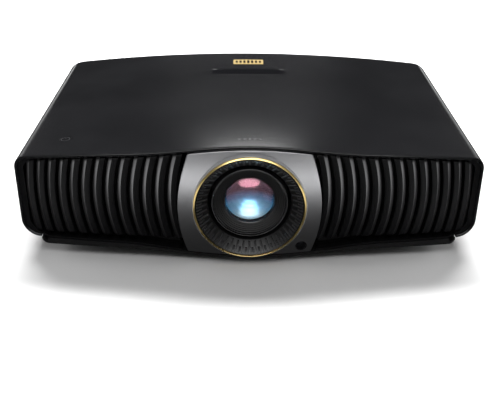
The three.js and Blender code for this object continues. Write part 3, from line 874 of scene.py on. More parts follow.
def bottom_case():
    """The base pan: its floor, with a raised ledge along the front and the rear edge."""
    front_band, rear_band = 5 / DEPTH, 12 / DEPTH
    step = 0.001
    rows = [0, 0.0015, front_band - step, front_band, front_band + step]
    rows += list(np.linspace(0.03, 0.95, 30))
    rows += [1 - rear_band - step, 1 - rear_band, 0.97, 0.98, 0.99, 0.995, 0.999, 1]
    outer, inner = [], []
    for t in rows:
        lift = 0.6 if t in (0, 1) else 0.0
        outline = pan_outline(t)
        outer.append(placed_row(inset(outline, -lift), t))
        top = inset(outline, -PAN_FLOOR)
        in_front = t <= front_band
        ledge = seam_z(top[:, 0]) - GAP if in_front else np.full(len(top), SIDE_BOTTOM_Z - 1.4)
        inside = np.abs(top[:, 0]) < PAN_HALF - PAN_END_R
        if in_front or t >= 1 - rear_band:
            top[:, 1] = np.where(inside, np.maximum(top[:, 1], ledge), top[:, 1])
        inner.append(placed_row(top, t))
    return joined("base_pan", [shell("base_pan", outer, inner, BASE), *base_details()])


def base_details():
    """Foot wells and the ceiling-bracket bosses on the underside."""
    for x in (-FOOT_X, FOOT_X):
        for y in (FOOT_FRONT_Y, FOOT_REAR_Y):
            z = pan_at(x, 0.3)
            ring = [(4.6, z - 0.6), (9, z - 0.6), (10.5, z - 0.2), (11, z + 1.5)]
            ring += [(9, 30), (4.6, 30)]
            yield turned("foot_boss", ring, BASE, (x, y, 0), "z", 40)
    for x in (-130, 130):
        for y in (-60, 85):
            ring = [(1.7, 8.3), (7.4, 8.3), (8, 8.9), (8, 20), (1.7, 20)]
            yield turned("bracket_boss", ring, BASE, (x, y, 0), "z", 32)
            thread = [(1.2, 9.5), (1.7, 9.2), (1.7, 19), (1.2, 19)]
            yield turned("bracket_insert", thread, COPPER, (x, y, 0), "z", 24)


# ---- Louvres -------------------------------------------------------------------------
def blade_x(k):
    return BLADE_X + BLADE_PITCH * k - BLADE_CLOSING * k * k * k


def blade_stub():
    """One blade as (share of width, depth, share of height): the tree lays it in place."""
    profile = [(0.0, 12.0), (0.0, 4.6), (0.02, 4.2), (0.06, 3.8)]  # the bright chamfer's side
    profile += [(0.36, 1.25), (0.4, 1.02), (0.45, 0.92), (0.6, 0.95), (0.8, 1.1), (0.93, 1.25)]
    profile += [(0.98, 1.5), (1.0, 2.0), (1.0, 12.0)]
    tip_share = 0.05
    ends = np.array([0.0, 0.008, 0.025, tip_share])
    heights = np.concatenate([ends - 1, np.linspace(-0.92, 0.92, 29), 1 - ends[::-1]])
    vertices = []
    for s in heights:
        tip = min(1.0, (1 - abs(s)) / tip_share)
        back = 2.6 * (1 - math.sqrt(1 - (1 - tip) ** 2))
        vertices += [(u, min(depth + back, BLADE_DEPTH), s) for u, depth in profile]
    count = len(profile)
    faces = loop_faces(len(heights), count)
    edged = [2 <= j <= 4 for _ in heights[1:] for j in range(count)]
    faces.append(tuple(range(count))[::-1])
    last = (len(heights) - 1) * count
    faces.append(tuple(range(last, last + count)))
    stub = piece("blade_stub", np.array(vertices) / MM, faces, LOUVRE)
    mark = stub.data.attributes.new("edged", "BOOLEAN", "FACE")
    mark.data.foreach_set("value", edged + [False, False])
    return stub


def louvre_tree():
    """Blades in a row: x, y and z in metres follow the casing's curves."""
    tree = Tree("louvre_row", Count=BLADES, Side=1.0, Fill=BLADE_FILL)
    blades, k = tree.repeated(tree.input("Geometry"), tree.input("Count"))
    u, depth, s = tree.position()
    outboard = blade_x(k)
    pitch = larger(outboard - blade_x(k - 1), MIN_PITCH)
    bow = BLADE_BOW * (1 - ((outboard - PLATE_HALF) / BOW_FADE) ** 3)
    x = outboard - bow * s * s - u * pitch * tree.number("Fill")
    past_low = larger(x - (HALF_W - SIDE_FOOT_R), 0.0)
    low_drop = root(larger(OPENING_LOW_R**2 - past_low**2, 0.5))
    bottom = larger(seam_z(x) + 1.5, SIDE_BOTTOM_Z + SIDE_FOOT_R - low_drop)
    corner_x = HALF_W - TOP_R
    corner = top_at(smaller(x, float(corner_x)), 0)
    past_top = larger(x - corner_x, 0.0)
    top_rise = root(larger(OPENING_TOP_R**2 - past_top**2, 0.5))
    top = smaller(corner - WALL - FRAME_T, corner - TOP_R + top_rise - 1.0)
    height = mix(bottom, top, (s + 1) * 0.5)
    sag = (height - LENS_Z) * (1 / BLADE_REACH)
    y = front_y(x) + depth + BLADE_SAG * sag * sag * (1 - depth / BLADE_DEPTH)
    point = tree.together(x * tree.number("Side") * MM, y * MM, height * MM)
    tree.finish(tree.moved(blades, point), edged=True)
    return tree


def louvres(tree, name, side):
    obj = blade_stub()
    obj.name = name
    obj = grown(obj, tree, LOUVRE, edge=CHAMFER, Side=float(side), Count=BLADES)
    mesh = obj.data
    bm = bmesh.new()
    bm.from_mesh(mesh)
    bmesh.ops.recalc_face_normals(bm, faces=bm.faces)
    bm.to_mesh(mesh)
    bm.free()
    smooth(obj, 40)
    return obj


def wing_frame(name, side):
    """The frame around one wing's blades, with its flush cheek at the casing's side."""
    inner = inset(half_section(0), WALL + GAP)
    upper = inner[inner[:, 0] > PLATE_HALF - 2]
    low = np.linspace(PAN_HALF - PAN_END_R, PLATE_HALF - 3, 40)
    lower = np.column_stack([low, seam_z(low) + 0.15])
    path = np.vstack([upper, lower])
    cheek_x, cheek_run, middle_z = 228, 10, 60
    thin, cheek_extra, top_setback = 1.6, 3.9, 3.4
    cheek = np.clip((path[:, 0] - cheek_x) / cheek_run, 0, 1)
    run = inset(path, 1.0) - path
    inside = path + run * (thin + cheek_extra * cheek)[:, None]
    front = thin + top_setback * (1 - cheek) * (path[:, 1] > middle_z)
    deep = BLADE_DEPTH * np.ones(len(path))

    def rows(line, lead):
        x, z = line.T
        depths = (lead, lead + 0.3, deep, deep + 1)
        return [np.column_stack([side * x, front_y(x) + d, z]) for d in depths]

    return shell(name, rows(path, front), rows(inside, front + 0.4), LOUVRE, 40)


def dust_screen(name, side):
    """A fine dark filter sheet behind one wing's blades."""
    x = np.linspace(PLATE_HALF, HALF_W - 8, 40)
    corner_low, corner_high = 30, 100
    rows = []
    for height in (0.0, 0.5, 1.0):
        z = mix(seam_z(x) + 3, top_at(x, 0) - WALL - 6, height)
        z = np.where(x > HALF_W - TOP_R, np.clip(z, corner_low, corner_high), z)
        rows.append(np.column_stack([side * x, front_y(x) + SCREEN_DEPTH, z]))
    rows = np.array(rows)
    return shell(name, rows, rows + (0, SCREEN_T, 0), DARK)


# ---- Lens plate, ring and funnel -----------------------------------------------------
def plate_boundary(count):
    """Points (x, z) around the plate's edge, evenly spread by angle about the lens."""

    def edge_point(u, v):
        nominal = mix(seam_z(0.0), top_at(0.0, 0), v)
        x = u * plate_half(nominal)
        return (x, mix(seam_z(x) + 0.5, top_at(x, 0) - WALL - PLATE_TOP_GAP, v))

    side = 90
    loop = [edge_point(1, v) for v in np.linspace(0, 1, side)]
    loop += [edge_point(u, 1) for u in np.linspace(1, -1, 2 * side)[1:]]
    loop += [edge_point(-1, v) for v in np.linspace(1, 0, side)[1:]]
    loop += [edge_point(u, 0) for u in np.linspace(-1, 1, 2 * side)[1:-1]]
    loop = np.array(loop)
    angle = np.unwrap(np.arctan2(loop[:, 1] - LENS_Z, loop[:, 0]))
    wanted = angle[0] + full_turn(count)
    angle = np.append(angle, angle[0] + 2 * math.pi)
    loop = np.vstack([loop, loop[:1]])
    return np.column_stack([np.interp(wanted, angle, c) for c in loop.T]), wanted


def lens_plate():
    """The gunmetal plate, from the ring's hole out to its rolled edge."""
    edge, angle = plate_boundary(288)
    hole = np.column_stack([np.cos(angle), np.sin(angle)]) * (RING_R + 0.15) + (0, LENS_Z)
    gap = np.linalg.norm(edge - hole, axis=1)
    roll = 0.7
    near, far = [], []
    for w in np.concatenate([np.linspace(0, 0.9, 14), [0.94, 0.97, 0.985, 0.995, 1.0]]):
        x, z = (hole + (edge - hole) * w).T
        left = np.clip(gap * (1 - w), 0, roll)
        back = roll - np.sqrt(np.maximum(roll**2 - (roll - left) ** 2, 0))
        y = plate_y(x, z)
        near.append(np.column_stack([x, y + back, z]))
        far.append(np.column_stack([x, y + WALL, z]))
    return shell("lens_plate_face", near, far, GUNMETAL, 40, wrap=True)


def gold_ring():
    """A thin ring with a broad polished chamfer round its outside."""
    r0, r1, y = RING_R - RING_BAND, RING_R, RING_FRONT_Y
    profile = [(r0, y + 8), (r0, y + 0.9), (r0 + 0.1, y + 0.5), (r0 + 0.3, y + 0.15), (r0 + 0.5, y)]
    profile += [(r1 - RING_CHAMFER, y + 0.02), (r1 - 0.15, y + 1.0), (r1, y + 1.2), (r1, y + 8)]
    return turned("gold_ring", profile, GOLD, LENS_AXIS, segments=192)


def ring_seat():
    """The satin collar that carries the gold ring proud of the plate."""
    r, y = RING_R + 0.05, RING_FRONT_Y
    profile = [(r, y + 9), (r, y + 1.8), (r + 0.5, y + 1.8), (r + 1.3, y + 7), (r + 1.3, y + 9)]
    return turned("ring_seat", profile, SEAT, LENS_AXIS, segments=192)


def funnel_cone():
    out = RING_R - RING_BAND - 0.15
    y = RING_FRONT_Y
    r, inner_y = FUNNEL_IN_R, FUNNEL_IN_Y
    profile = [(r, inner_y + 14), (r, inner_y + 0.6), (r + 0.4, inner_y)]
    profile += [(out - 0.6, y + 3.0), (out, y + 2.6), (out, y + 5.4)]
    profile += [(r + 1.6, inner_y + 2), (r + 1.6, inner_y + 14)]
    return turned("funnel_cone", profile, DARK, LENS_AXIS, segments=192)


def rib_stub(name, inner):
    """A rib lying on the funnel's cone along +X: (radius, depth, half width) before turning."""
    out = RING_R - RING_BAND - 1.2
    slope = (RING_FRONT_Y + 3.0 - FUNNEL_IN_Y) / (out - FUNNEL_IN_R)
    foot, top = 0.05, 1.4

    def on_cone(r, lift):
        return FUNNEL_IN_Y + slope * (r - FUNNEL_IN_R) - lift

    vertices = []
    for r, lift in [(inner, foot), (inner + 0.5, top), (out - 0.5, top), (out, foot)]:
        half = RIB_SHARE * math.pi * r / (2 * RIBS)
        for across, up in [(-half, -0.6), (-half * 0.85, lift), (half * 0.85, lift), (half, -0.6)]:
            vertices.append((r, on_cone(r, up), across))
    faces = loop_faces(4, 4) + [(0, 1, 2, 3), (15, 14, 13, 12)]
    return piece(name, vertices, faces, RIM)


def circle_tree():
    """Copies of a piece turned about the lens axis by equal steps."""
    tree = Tree("round_the_lens", Count=RIBS, Start=0.0)
    copies, k = tree.repeated(tree.input("Geometry"), tree.input("Count"))
    x, y, z = tree.position()
    turn = (k + tree.number("Start")) * (2 * math.pi) / tree.number("Count")
    sine = turn.step("SINE")
    point = tree.together(x * cosine(turn) - z * sine, y, x * sine + z * cosine(turn) + LENS_Z * MM)
    tree.finish(tree.moved(copies, point))
    return tree


# ---- Projection lens -----------------------------------------------------------------
def lens_barrel():
    y = LENS_FRONT_Y
    rim = [(38.8, y + 50), (38.8, y + 0.5), (39.1, y + 0.1), (39.6, y), (39.9, y + 0.2)]
    rim.append((40, y + 0.6))
    groove = [(40, y + 18), (39.4, y + 18.5), (39.4, y + 20), (40, y + 20.5)]
    tube = [(40, -112), (36, -108), (36, -32.5), (36.5, -32)]
    flange = [(41.6, -32), (42, -31.6), (42, -24.4), (41.6, -24), (31, -24), (31, -108)]
    profile = rim + groove + tube + flange
    return turned("barrel_shell", profile, RIM, LENS_AXIS, segments=128)


def focus_cell():
    """The dark stepped cone between the barrel's rim and the glass."""
    y, outer, bore = LENS_FRONT_Y, 38.5, 34
    r, depth = 36.7, 2.6
    run, fall = 1.85, 0.8
    profile = [(outer, -118), (outer, y + 1.5), (37.6, y + 1.2), (36.9, y + 1.5), (r, y + depth)]
    for _ in range(4):
        profile += [(r - 1.7, y + depth + 0.35), (r - run, y + depth + fall)]
        r -= run
        depth += fall
    profile += [(r - 0.5, y + depth + 0.1), (GLASS_R + 0.9, y + 6.4), (GLASS_R + 0.25, y + 6.9)]
    profile += [(GLASS_R + 0.25, -149), (bore, -146), (bore, -118)]
    return turned("focus_cell_shell", profile, CELL, LENS_AXIS, segments=128)


def element(name, r, front_edge, front_middle, back_edge, back_middle, material):
    """A round lens element; middle and edge are the y of each face there."""
    across = np.linspace(0, 1, 15)
    profile = [(r * u, mix(front_middle, front_edge, u * u)) for u in across]
    profile += [(r * u, mix(back_middle, back_edge, u * u)) for u in across[::-1]]
    return turned(name, profile, material, LENS_AXIS, segments=96, angle=30)


def inner_element():
    """The deep bowl of the second lens element, with the steps of its thin retaining rings."""
    rim_r, rim_y, deep_y, back_y, bulge = GLASS_R - 0.6, -150.4, -140, -137.5, 10.2
    ring_edges, ring_step = (21.5, 16.5, 10.5), 0.35
    bowl = [(rim_r, rim_y)]
    for r in np.linspace(GLASS_R - 1.2, 0, 22):
        step = sum(ring_step for edge in ring_edges if r < edge)
        bowl.append((r, deep_y + step - bulge * (r / GLASS_R) ** 2))
    bowl += [(0, back_y), (rim_r, back_y)]
    return turned("inner_element", bowl, BOWL_COAT_PAINTED_REFLECTION, LENS_AXIS, segments=96, angle=30)


def zoom_cell():
    profile = [(30.6, -99.5), (30.1, -100), (23, -100), (22, -98)]
    profile += [(22, -62), (23, -60), (30.1, -60), (30.6, -60.5)]
    return turned("zoom_cell_shell", profile, ALLOY, LENS_AXIS, segments=96)


def geared(name, y0, y1):
    """A toothed ring round the barrel."""
    count, bore, root_r, tip_r, soft = 180, 36.5, 42.6, 43.9, 0.5
    turn = full_turn(count)
    teeth = np.where(np.arange(count) % 5 < 2, tip_r, root_r)

    def loop(r, y):
        return np.column_stack([r * np.cos(turn), np.full(count, y), r * np.sin(turn) + LENS_Z])

    rows = [(y0, soft), (y0 + soft, 0.0), (y1 - soft, 0.0), (y1, soft)]
    near = [loop(teeth - edge, y) for y, edge in rows]
    return shell(name, near, [loop(bore, y) for y, _ in rows], GREY, 40, wrap=True)


def dense(outline, step=1.5):
    """The same closed outline with points no further apart than step."""
    points = []
    outline = np.array(outline, float)
    for start, end in zip(outline, np.roll(outline, -1, axis=0)):
        count = max(1, math.ceil(np.linalg.norm(end - start) / step))
        points += [start + (end - start) * i / count for i in range(count)]
    return np.array(points)


# ---- Small front and top pieces ------------------------------------------------------
def on_top(x, y, lift):
    return (x, y, top_z(x, y) + lift)


def on_plate(x, z, lift):
    return (x, plate_y(x, z) - lift, z)


def laid(name, outline, lift, sink, material, centre, surface=on_top):
    """A thin tablet with a rounded outline, following the surface it lies on."""
    outline = dense(outline)
    count = len(outline)
    edge_drop, edge_scale = 0.15, 0.992
    rings = [(1.0, -sink), (1.0, lift - edge_drop), (edge_scale, lift)]
    rings += [(scale, lift) for scale in (0.85, 0.7, 0.55, 0.4, 0.25, 0.1)]
    vertices = []
    for scale, height in rings:
        vertices += [surface(u, v, height) for u, v in outline * scale + centre]
    faces = loop_faces(len(rings), count)
    faces.append(tuple(range(count)))
    faces.append(tuple(range(count * (len(rings) - 1), count * len(rings)))[::-1])
    return piece(name, vertices, faces, material)


def badge():
    """A small plate with a row of plain bars in relief."""
    plate = laid("badge_base", rounded_outline(20, 9.5, 1.2), 0.35, 0.8, BADGE_GOLD, (0, BADGE_Y))
    bars = []
    for i in range(-3, 4):
        outline = rounded_outline(1.5, 5.5 - abs(i) * 0.55, 0.5, 3)
        bars.append(laid("badge_bar", outline, 0.6, 0.1, GLOSS, (i * 5.2, BADGE_Y)))
    return joined("badge", [plate, *bars])


def status_marks():
    """Tiny windows for the status lights, behind the lip."""
    strip = rounded_outline(13.5, 1.3, 1.2)
    marks = [laid("status_strip", strip, 0.04, 0.6, CASING, (0, STATUS_Y))]
    for x, half in ((-11, 1.3), (-5.5, 1.3), (0, 1.0), (5.5, 1.3), (11, 1.3)):
        outline = rounded_outline(half, 0.55 if half > 1 else 0.95, 0.5, 3)
        marks.append(laid("status_mark", outline, 0.1, 0.3, PRINT, (x, STATUS_Y)))
    return joined("status_marks", marks)


def power_button():
    """The round key, with a thin ring and a dot on its face."""
    to_world = button_frame()
    r, skirt = BUTTON_R, 9
    cap = [(0, 0.0), (5.6, 0.0), (6.4, -0.05), (6.85, -0.35), (r, -0.9), (r, -4.5)]
    cap += [(skirt, -4.5), (skirt, -6.2), (0, -6.2)]
    low, high = -0.3, 0.12
    ring = [(4.3, low), (4.3, high), (4.8, high), (4.8, low)]
    dot = [(0, low), (0, high), (0.5, high), (0.5, low)]
    parts = [turned("button_cap", cap, CASING, axis="z", segments=64)]
    parts.append(turned("button_ring", ring, MARK, axis="z", segments=48))
    parts.append(turned("button_stem", dot, MARK, (0, 1.6, 0), "z", 16))
    button = joined("power_button_cap", parts)
    for matrix in (Matrix.Scale(1 / MM, 4), to_world, Matrix.Scale(MM, 4)):
        button.data.transform(matrix)
    smooth(button)
    return button


def disc(r, steps=48):
    turn = np.linspace(0, 2 * math.pi, steps + 1)[:-1]
    return np.array([(r * math.cos(a), r * math.sin(a)) for a in turn])


def infrared_window():
    """A round dark window in a thin bezel, following the lens plate."""
    centre = (IR_X, IR_Z)
    bezel = laid("ir_bezel", disc(IR_R), 0.3, 2, DARK, centre, on_plate)
    window = laid("ir_lens", disc(IR_R - 0.9), 0.55, 0.2, GLOSS, centre, on_plate)
    return joined("ir_window", [bezel, window])


# ---- Rear ----------------------------------------------------------------------------
def screw_stub():
    """A pan-head screw with a cross recess, its axis along +Y at the origin."""
    profile = [(0, 1.3), (1.6, 1.25), (2.4, 0.9), (2.8, 0.3), (2.8, -0.6), (0, -0.6)]
    head = turned("screw", profile, STEEL, segments=24)
    long, short = 1.5, 0.35
    arms = []
    for half_x, half_z in ((long, short), (short, long)):
        outline = rounded_outline(half_x, half_z, 0.2, 1)
        arms.append(block("recess", outline, 0.7, 2.0, DARK, soft=0))
    return cut(head, *arms)


def scatter_tree():
    """One copy of a piece on each point of a list."""
    tree = Tree("on_points", Scale=1.0)
    points = tree.add("GeometryNodeInstanceOnPoints")
    source = tree.add("GeometryNodeObjectInfo")
    tree.tree.interface.new_socket("Item", in_out="INPUT", socket_type="NodeSocketObject")
    tree.link(tree.start.outputs["Item"], source.inputs["Object"])
    tree.link(tree.input("Geometry"), points.inputs["Points"])
    tree.link(source.outputs["Geometry"], points.inputs["Instance"])
    tree.link(tree.input("Scale"), points.inputs["Scale"])
    tree.finish(points.outputs[0])
    return tree


def scattered(name, tree, points, stub, material):
    holder = piece(name, points, [], material)
    result = grown(holder, tree, material, Item=stub)
    bpy.data.objects.remove(stub)
    return result


def vent_cutters():
    """A field of slots through the rear panel, above the sockets."""
    tree = Tree("slot_field", Count=30, Pitch=5.2)
    slots, k = tree.repeated(tree.input("Geometry"), tree.input("Count"))
    x, y, z = tree.position()
    offset = (k - (tree.number("Count") - 1) * 0.5) * tree.number("Pitch")
    tree.finish(tree.moved(slots, tree.together(x + offset * MM, y, z)))
    outline = rounded_outline(1.2, 11, 1.2, 3)
    stub = block("slot", outline, PANEL_Y - 8, PANEL_Y + 4, DARK, (VENT_X, VENT_Z), soft=0)
    return grown(stub, tree, DARK, Count=30, Pitch=4.6)


def rear_panel():
    panel = recoated(refined("rear_panel_plate", "rear_panel", 0.3), CASING)
    return cut(panel, vent_cutters(), angle=20.0)


def rear_dust_screen():
    """A dark filter sheet just inside the rear vents."""
    back = PANEL_Y - PANEL_T - 0.3
    outline = rounded_outline(71, 13, 2)
    place = (VENT_X, VENT_Z)
    return block("rear_dust_screen", outline, back - SCREEN_T, back, DARK, place, 0.2)


def centre_of(node):
    """The middle of a CAD node's box, in X and Z."""
    low, high = (np.array(corner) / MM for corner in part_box(node))
    return (low[0] + high[0]) / 2, (low[2] + high[2]) / 2


def socket_lining(name):
    """What shows inside each socket: its tongue or pins."""
    x, z = centre_of(name)
    parts = []

    def add(label, outline, behind, front, material, dx=0.0, dz=0.0, soft=0.0):
        y0, y1 = PANEL_Y + behind, PANEL_Y + front
        parts.append(block(label, outline, y0, y1, material, (x + dx, z + dz), soft))

    if name.startswith("hdmi") or name == "usb_socket":
        half = 5.6 if name.startswith("hdmi") else 5.0
        add("tongue", rounded_outline(half, 0.9, 0.3, 2), -11.5, -2, GREY, soft=0.4)
        for i in range(-4, 5):
            outline = rounded_outline(0.28, 0.1, 0.05, 1)
            add("contact", outline, -11, -2.4, COPPER, i * half / 5, 0.95)
    if name == "lan_socket":
        for i in range(8):
            outline = rounded_outline(0.25, 0.25, 0.1, 1)
            add("contact", outline, -12, -4, COPPER, -3.6 + i * 1.02, 3.9)
    if name == "serial_socket":
        for row, count in ((1.4, 5), (-1.4, 4)):
            for i in range(count):
                outline = rounded_outline(0.5, 0.5, 0.45, 3)
                add("pin", outline, -6, -0.6, COPPER, (i - (count - 1) / 2) * 2.75, row)
        for side in (-1, 1):
            add("jack_nut", disc(2.4, 6) + (12.5 * side, 0), 0.6, 4, STEEL, soft=0.2)
    if name == "ac_inlet":
        for dx, dz in ((-7, -1.5), (7, -1.5), (0, 2.5)):
            add("blade_pin", rounded_outline(1.0, 2.0, 0.3, 2), -15, -2, STEEL, dx, dz, 0.15)
    return joined(name + "_contacts", parts)


def key_cap(name, half):
    """A rubber key with its printed mark, and the stop behind the panel."""
    at = centre_of(name)
    y, back = PANEL_Y, PANEL_Y - PANEL_T - 1
    cap = block("cap", rounded_outline(half, half, 2.2), back, y + 1.6, KEYCAP, at, 0.6)
    outline = rounded_outline(half + 1.2, half + 1.2, 2)
    stop = block("stop", outline, y - 5.5, y - 3.5, KEYCAP, at, 0.2)
    turn = {"key_up": 90, "key_down": 270, "key_left": 180, "key_right": 0}
    arrow_r, dot_r = 2.1, 2.0
    if name in turn:
        corners = [math.radians(turn[name] + a) for a in (0, 120, 240)]
        symbol = [(arrow_r * math.cos(a), arrow_r * math.sin(a)) for a in corners]
    else:
        symbol = rounded_outline(dot_r, dot_r, 1.95, 6)
    mark = block("mark", symbol, y + 1.5, y + 1.75, PRINT, at, 0)
    return joined(name + "_cap", [cap, stop, mark])


# ---- Feet ----------------------------------------------------------------------------
def foot_knob(name, x, y):
    """A rubber foot with a knurled band; each row is (radius, height, 1 where knurled)."""
    count, axis_r = 96, 0.01
    turn = full_turn(count)
    knurl = np.where(np.arange(count) % 4 < 2, 0.0, 0.55)
    rows = [(axis_r, 0.0, 0), (10.5, 0.0, 0), (13, 0.15, 0), (13.8, 0.8, 0), (14, 2.4, 0)]
    rows += [(13.6, 3.2, 0), (12.6, 3.5, 0), (12.9, 3.7, 1), (12.9, 6.4, 1)]
    rows += [(12.3, 6.9, 0), (6, 7.0, 0), (axis_r, 7.0, 0)]
    loops = []
    for r, z, knurled in rows:
        radius = r - knurl * knurled
        across, up = radius * np.cos(turn) + x, radius * np.sin(turn) + y
        loops.append(np.column_stack([across, up, np.full(count, z)]))
    faces = loop_faces(len(rows), count)
    return piece(name, np.vstack(loops), faces, RUBBER, 30, merge=0.02)


def foot_stud(name, x, y):
    """A threaded stud: the thread is a row of rounded ridges."""
    root_r, crest_r, pitch, low, high = 3.4, 3.95, 1.25, 7.4, 29
    profile = [(0, low)]
    z = low
    while z < high:
        profile += [(root_r, z), (crest_r, z + 0.4), (crest_r, z + 0.75), (root_r, z + 1.2)]
        z += pitch
    profile += [(2.8, 30), (0, 30)]
    return turned(name, profile, STEEL, (x, y, 0), "z", 32)


# ---- Carried-over inner pieces -------------------------------------------------------
INNER = {
    GREY: "optical_engine intake_fan_rotor exhaust_fan_rotor",
    ALLOY: "shift_frame_vertical shift_frame_horizontal mirror_chip_heatsink laser_module"
    " laser_heatsink",
    STEEL: "focus_motor zoom_motor shift_motor_vertical shift_motor_horizontal phosphor_motor",
    BOARD: "mirror_chip_board power_supply main_board",
    DARK: "intake_fan_frame exhaust_fan_frame",
    PHOSPHOR: "phosphor_wheel",
}


def dress_inner():
    for material, names in INNER.items():
        for name in names.split():
            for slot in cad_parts[name].material_slots:
                slot.material = material


# ---- Building it all -----------------------------------------------------------------
def build_casing():
    show(top_cover(), "casing", "top_cover", slot="casing_black")
    show(bottom_case(), "casing", "bottom_case", slot="base_black")
    rows = louvre_tree()
    for word, side in (("left", -1), ("right", 1)):
        blades = louvres(rows, f"louvres_{word}", side)
        show(blades, "casing", f"{word}_grille", slot="casing_black")
        show(wing_frame(f"wing_frame_{word}", side), "casing", slot="casing_black")
        show(dust_screen(f"dust_screen_{word}", side), "casing", slot="base_black")
    show(lens_plate(), "casing", "lens_plate", slot="gunmetal")
    show(ring_seat(), "casing", slot="gunmetal")
    show(gold_ring(), "casing", "lens_ring", slot="gold")
    show(funnel_cone(), "casing", "lens_funnel", slot="base_black")
    around = circle_tree()
    middle = (FUNNEL_IN_R + RING_R - RING_BAND) / 2
    long_ribs, short_ribs = (FUNNEL_IN_R + 1.2, 0.0), (middle, 0.5)
    for word, (inner, start) in (("long", long_ribs), ("short", short_ribs)):
        stub = rib_stub(f"funnel_ribs_{word}", inner)
        ribs = grown(stub, around, RIM, Count=RIBS, Start=start)
        show(ribs, "casing", slot="base_black")
    show(infrared_window(), "casing", "front_ir_window", slot="gloss_black")
    show(badge(), "casing", "badge_plate", slot="gold")
    inlay = laid("gloss_inlay", rounded_outline(47.5, 11.5, 2), 0.12, 0.8, GLOSS, (0, 96.5))
    show(inlay, "casing", "top_inlay", slot="gloss_black")
    show(status_marks(), "casing", "status_window", slot="light_guide")
    show(power_button(), "power_button", "power_button", slot="casing_black")


def build_lens():
    show(lens_barrel(), "lens_shift_horizontal", "lens_barrel", slot="base_black")
    show(focus_cell(), "focus_cell", "focus_cell", slot="casing_black")
    front = element("front_element", GLASS_R, -153.4, -160.5, -151.0, -155.5, FRONT_GLASS)
    show(front, "focus_cell", "front_glass", slot="glass")
    show(inner_element(), "focus_cell", slot="glass")
    show(zoom_cell(), "zoom_cell", "zoom_cell", slot="alloy")
    zoom = element("zoom_element", 21.9, -84, -88, -78, -75, INNER_GLASS)
    show(zoom, "zoom_cell", "zoom_glass", slot="glass")
    show(geared("focus_gear", -92, -78), "focus_ring", "focus_ring", slot="grey_plastic")
    show(geared("zoom_gear", -60, -46), "zoom_ring", "zoom_ring", slot="grey_plastic")


def build_rear():
    show(rear_panel(), "casing", "rear_panel", slot="casing_black")
    show(rear_dust_screen(), "casing", slot="base_black")
    steel = "hdmi_socket_1 hdmi_socket_2 usb_socket lan_socket serial_socket".split()
    for name in [*steel, "ac_inlet"]:
        housing = recoated(refined(name + "_shell", name, 0.25), STEEL if name in steel else BASE)
        show(housing, "casing", name, slot="steel" if name in steel else "base_black")
        show(socket_lining(name), "casing", slot="steel")
    for name in ("key_ok", "key_up", "key_down", "key_left", "key_right"):
        show(key_cap(name, 6 if name == "key_ok" else 5), name, name, slot="rubber")
    y, r = PANEL_Y, 5.9
    profile = [(0, y - 0.3), (4.8, y), (5.6, y + 0.4), (r, y), (r, y - 5), (0, y - 5)]
    eye = turned("rear_ir_lens", profile, GLOSS, (-95, 0, 84), segments=64)
    show(eye, "casing", "rear_ir_window", slot="gloss_black")
    points = [(x, PANEL_Y, z) for x, z in SCREWS]
    screws = scattered("rear_screws", scatter_tree(), points, screw_stub(), STEEL)
    show(screws, "casing", slot="steel")


def build_feet():
    for end, y in (("front", FOOT_FRONT_Y), ("rear", FOOT_REAR_Y)):
        for word, x in (("left", -FOOT_X), ("right", FOOT_X)):
            knob, stud = f"foot_knob_{end}_{word}", f"foot_stud_{end}_{word}"
            show(foot_knob(f"knob_{end}_{word}", x, y), knob, knob, slot="rubber")
            show(foot_stud(f"stud_{end}_{word}", x, y), stud, stud, slot="steel")


# ---- Floor, light and camera ---------------------------------------------------------
def make_camera():
    pitch, yaw, roll = 0.497811, 0.0121003, 0.00901279
    level = math.cos(pitch)
    ahead = Vector((math.sin(yaw) * level, math.cos(yaw) * level, -math.sin(pitch)))
    right = Vector((math.cos(yaw), -math.sin(yaw), 0))
    up = right.cross(ahead)
    x = math.cos(roll) * right + math.sin(roll) * up
    y = math.cos(roll) * up - math.sin(roll) * right
    data = bpy.data.cameras.new("view")
    data.sensor_width = 36
    data.lens = 57.81
    camera = placed_object("view", data)
    matrix = Matrix((x, y, -ahead)).transposed().to_4x4()
    place = (-8.6, -900.93, 471.79)
    matrix.translation = Vector(place) * MM
    camera.matrix_world = matrix
    bpy.context.scene.camera = camera


def make_floor():
    finish = Finish("floor_white", (0.93, 0.93, 0.93), 0.9)
    finish.vary_color(finish.noise(3, 2), (0.95, 0.95, 0.95))
    half = 1.7 / MM
    corners = [(-half, -half, 0), (half, -half, 0), (half, half, 0), (-half, half, 0)]
    floor = piece("floor", corners, [(0, 1, 2, 3)], finish.material)
    floor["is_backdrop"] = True
    floor.visible_glossy = False


def area_light(name, place, target, size, power, glossy=True, diffuse=True, shape="RECTANGLE"):
    data = bpy.data.lights.new(name, "AREA")
    data.shape = shape
    data.size, data.size_y = size
    data.energy = power
    lamp = placed_object(name, data)
    place, target = Vector(place), Vector(target)
    lamp.matrix_world = (target - place).to_track_quat("-Z", "Y").to_matrix().to_4x4()
    lamp.matrix_world.translation = place
    lamp.visible_glossy = glossy
    lamp.visible_diffuse = diffuse
    lamp.visible_camera = False
    return lamp


def only_on(lamp, *names):
    """Keeps a lamp's light, and its reflection, to the pieces named."""
    lit = bpy.data.collections.new(f"{lamp.name}_receivers")
    for name in names:
        lit.objects.link(bpy.data.objects[name])
    lamp.light_linking.receiver_collection = lit


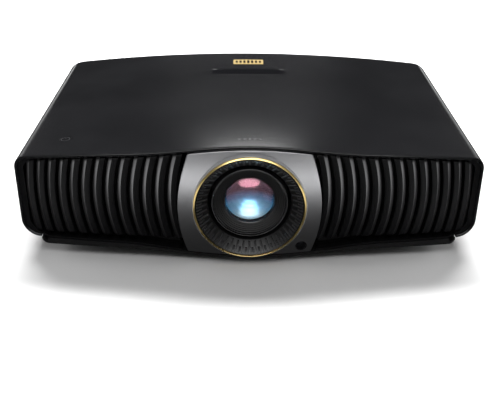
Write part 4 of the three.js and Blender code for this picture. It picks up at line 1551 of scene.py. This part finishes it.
def make_world():
    """Dim surroundings for the reflections, behind a plain white background."""
    world = bpy.data.worlds.new("studio")
    world.use_nodes = True
    nodes, links = world.node_tree.nodes, world.node_tree.links
    dim = nodes["Background"]
    dim.inputs["Color"].default_value = (0.03, 0.03, 0.03, 1)
    white = nodes.new("ShaderNodeBackground")
    choice = nodes.new("ShaderNodeMixShader")
    links.new(nodes.new("ShaderNodeLightPath").outputs["Is Camera Ray"], choice.inputs["Fac"])
    links.new(dim.outputs[0], choice.inputs[1])
    links.new(white.outputs[0], choice.inputs[2])
    white.inputs["Color"].default_value = (1, 1, 1, 1)
    links.new(choice.outputs[0], nodes["World Output"].inputs["Surface"])
    bpy.context.scene.world = world


def make_light():
    make_world()
    bpy.context.scene.view_settings.view_transform = "Standard"
    body, front = (0, 0, 0.08), (0, -0.15, 0.07)
    area_light("key_behind", (0, 1.15, 2.0), (0, -0.1, 0), (2.6, 0.6), 140, glossy=False)
    area_light("overhead", (0, -0.7, 2.6), (0, -0.4, 0), (3.5, 2.2), 24, glossy=False)
    area_light("back_panel", (0.03, 3.0, 0.30), (0, 0, 0.12), (0.9, 0.30), 3.4, diffuse=False)
    area_light("front_panel", (0, -1.9, 1.45), front, (2.4, 1.2), 36, diffuse=False)
    eye = (0, -2.6, 0.76)
    panel = area_light("eye_panel", eye, front, (2.3, 0.75), 60, diffuse=False, shape="ELLIPSE")
    only_on(panel, "front_element")
    low, above = (0.06, -0.58, 0.003), (0.06, -0.58, 1)
    card = area_light("front_card", low, above, (0.8, 0.34), 2.3, diffuse=False)
    only_on(card, "lens_plate_face", "gold_ring", "barrel_shell", "focus_cell_shell")
    for side in (-1, 1):
        place = (side * 2.2, 0.4, 0.7)
        area_light(f"side_{side}", place, body, (1.6, 1.2), 22, glossy=False)
        place = (side * 1.9, 2.6, 0.27)
        area_light(f"rim_{side}", place, body, (1.6, 0.5), 3.0, diffuse=False)
        low, above = (side * 0.64, -0.45, 0.002), (side * 0.64, -0.45, 1)
        card = area_light(f"card_{side}", low, above, (0.9, 0.5), 1.6, diffuse=False)
        only_on(card, "louvres_left", "louvres_right", "gold_ring", "lens_plate_face")


make_camera()
build_casing()
build_lens()
build_rear()
build_feet()
dress_inner()
make_floor()
make_light()

[[list(map(float, corner)) for corner in b] for b in (cad_box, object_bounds())]
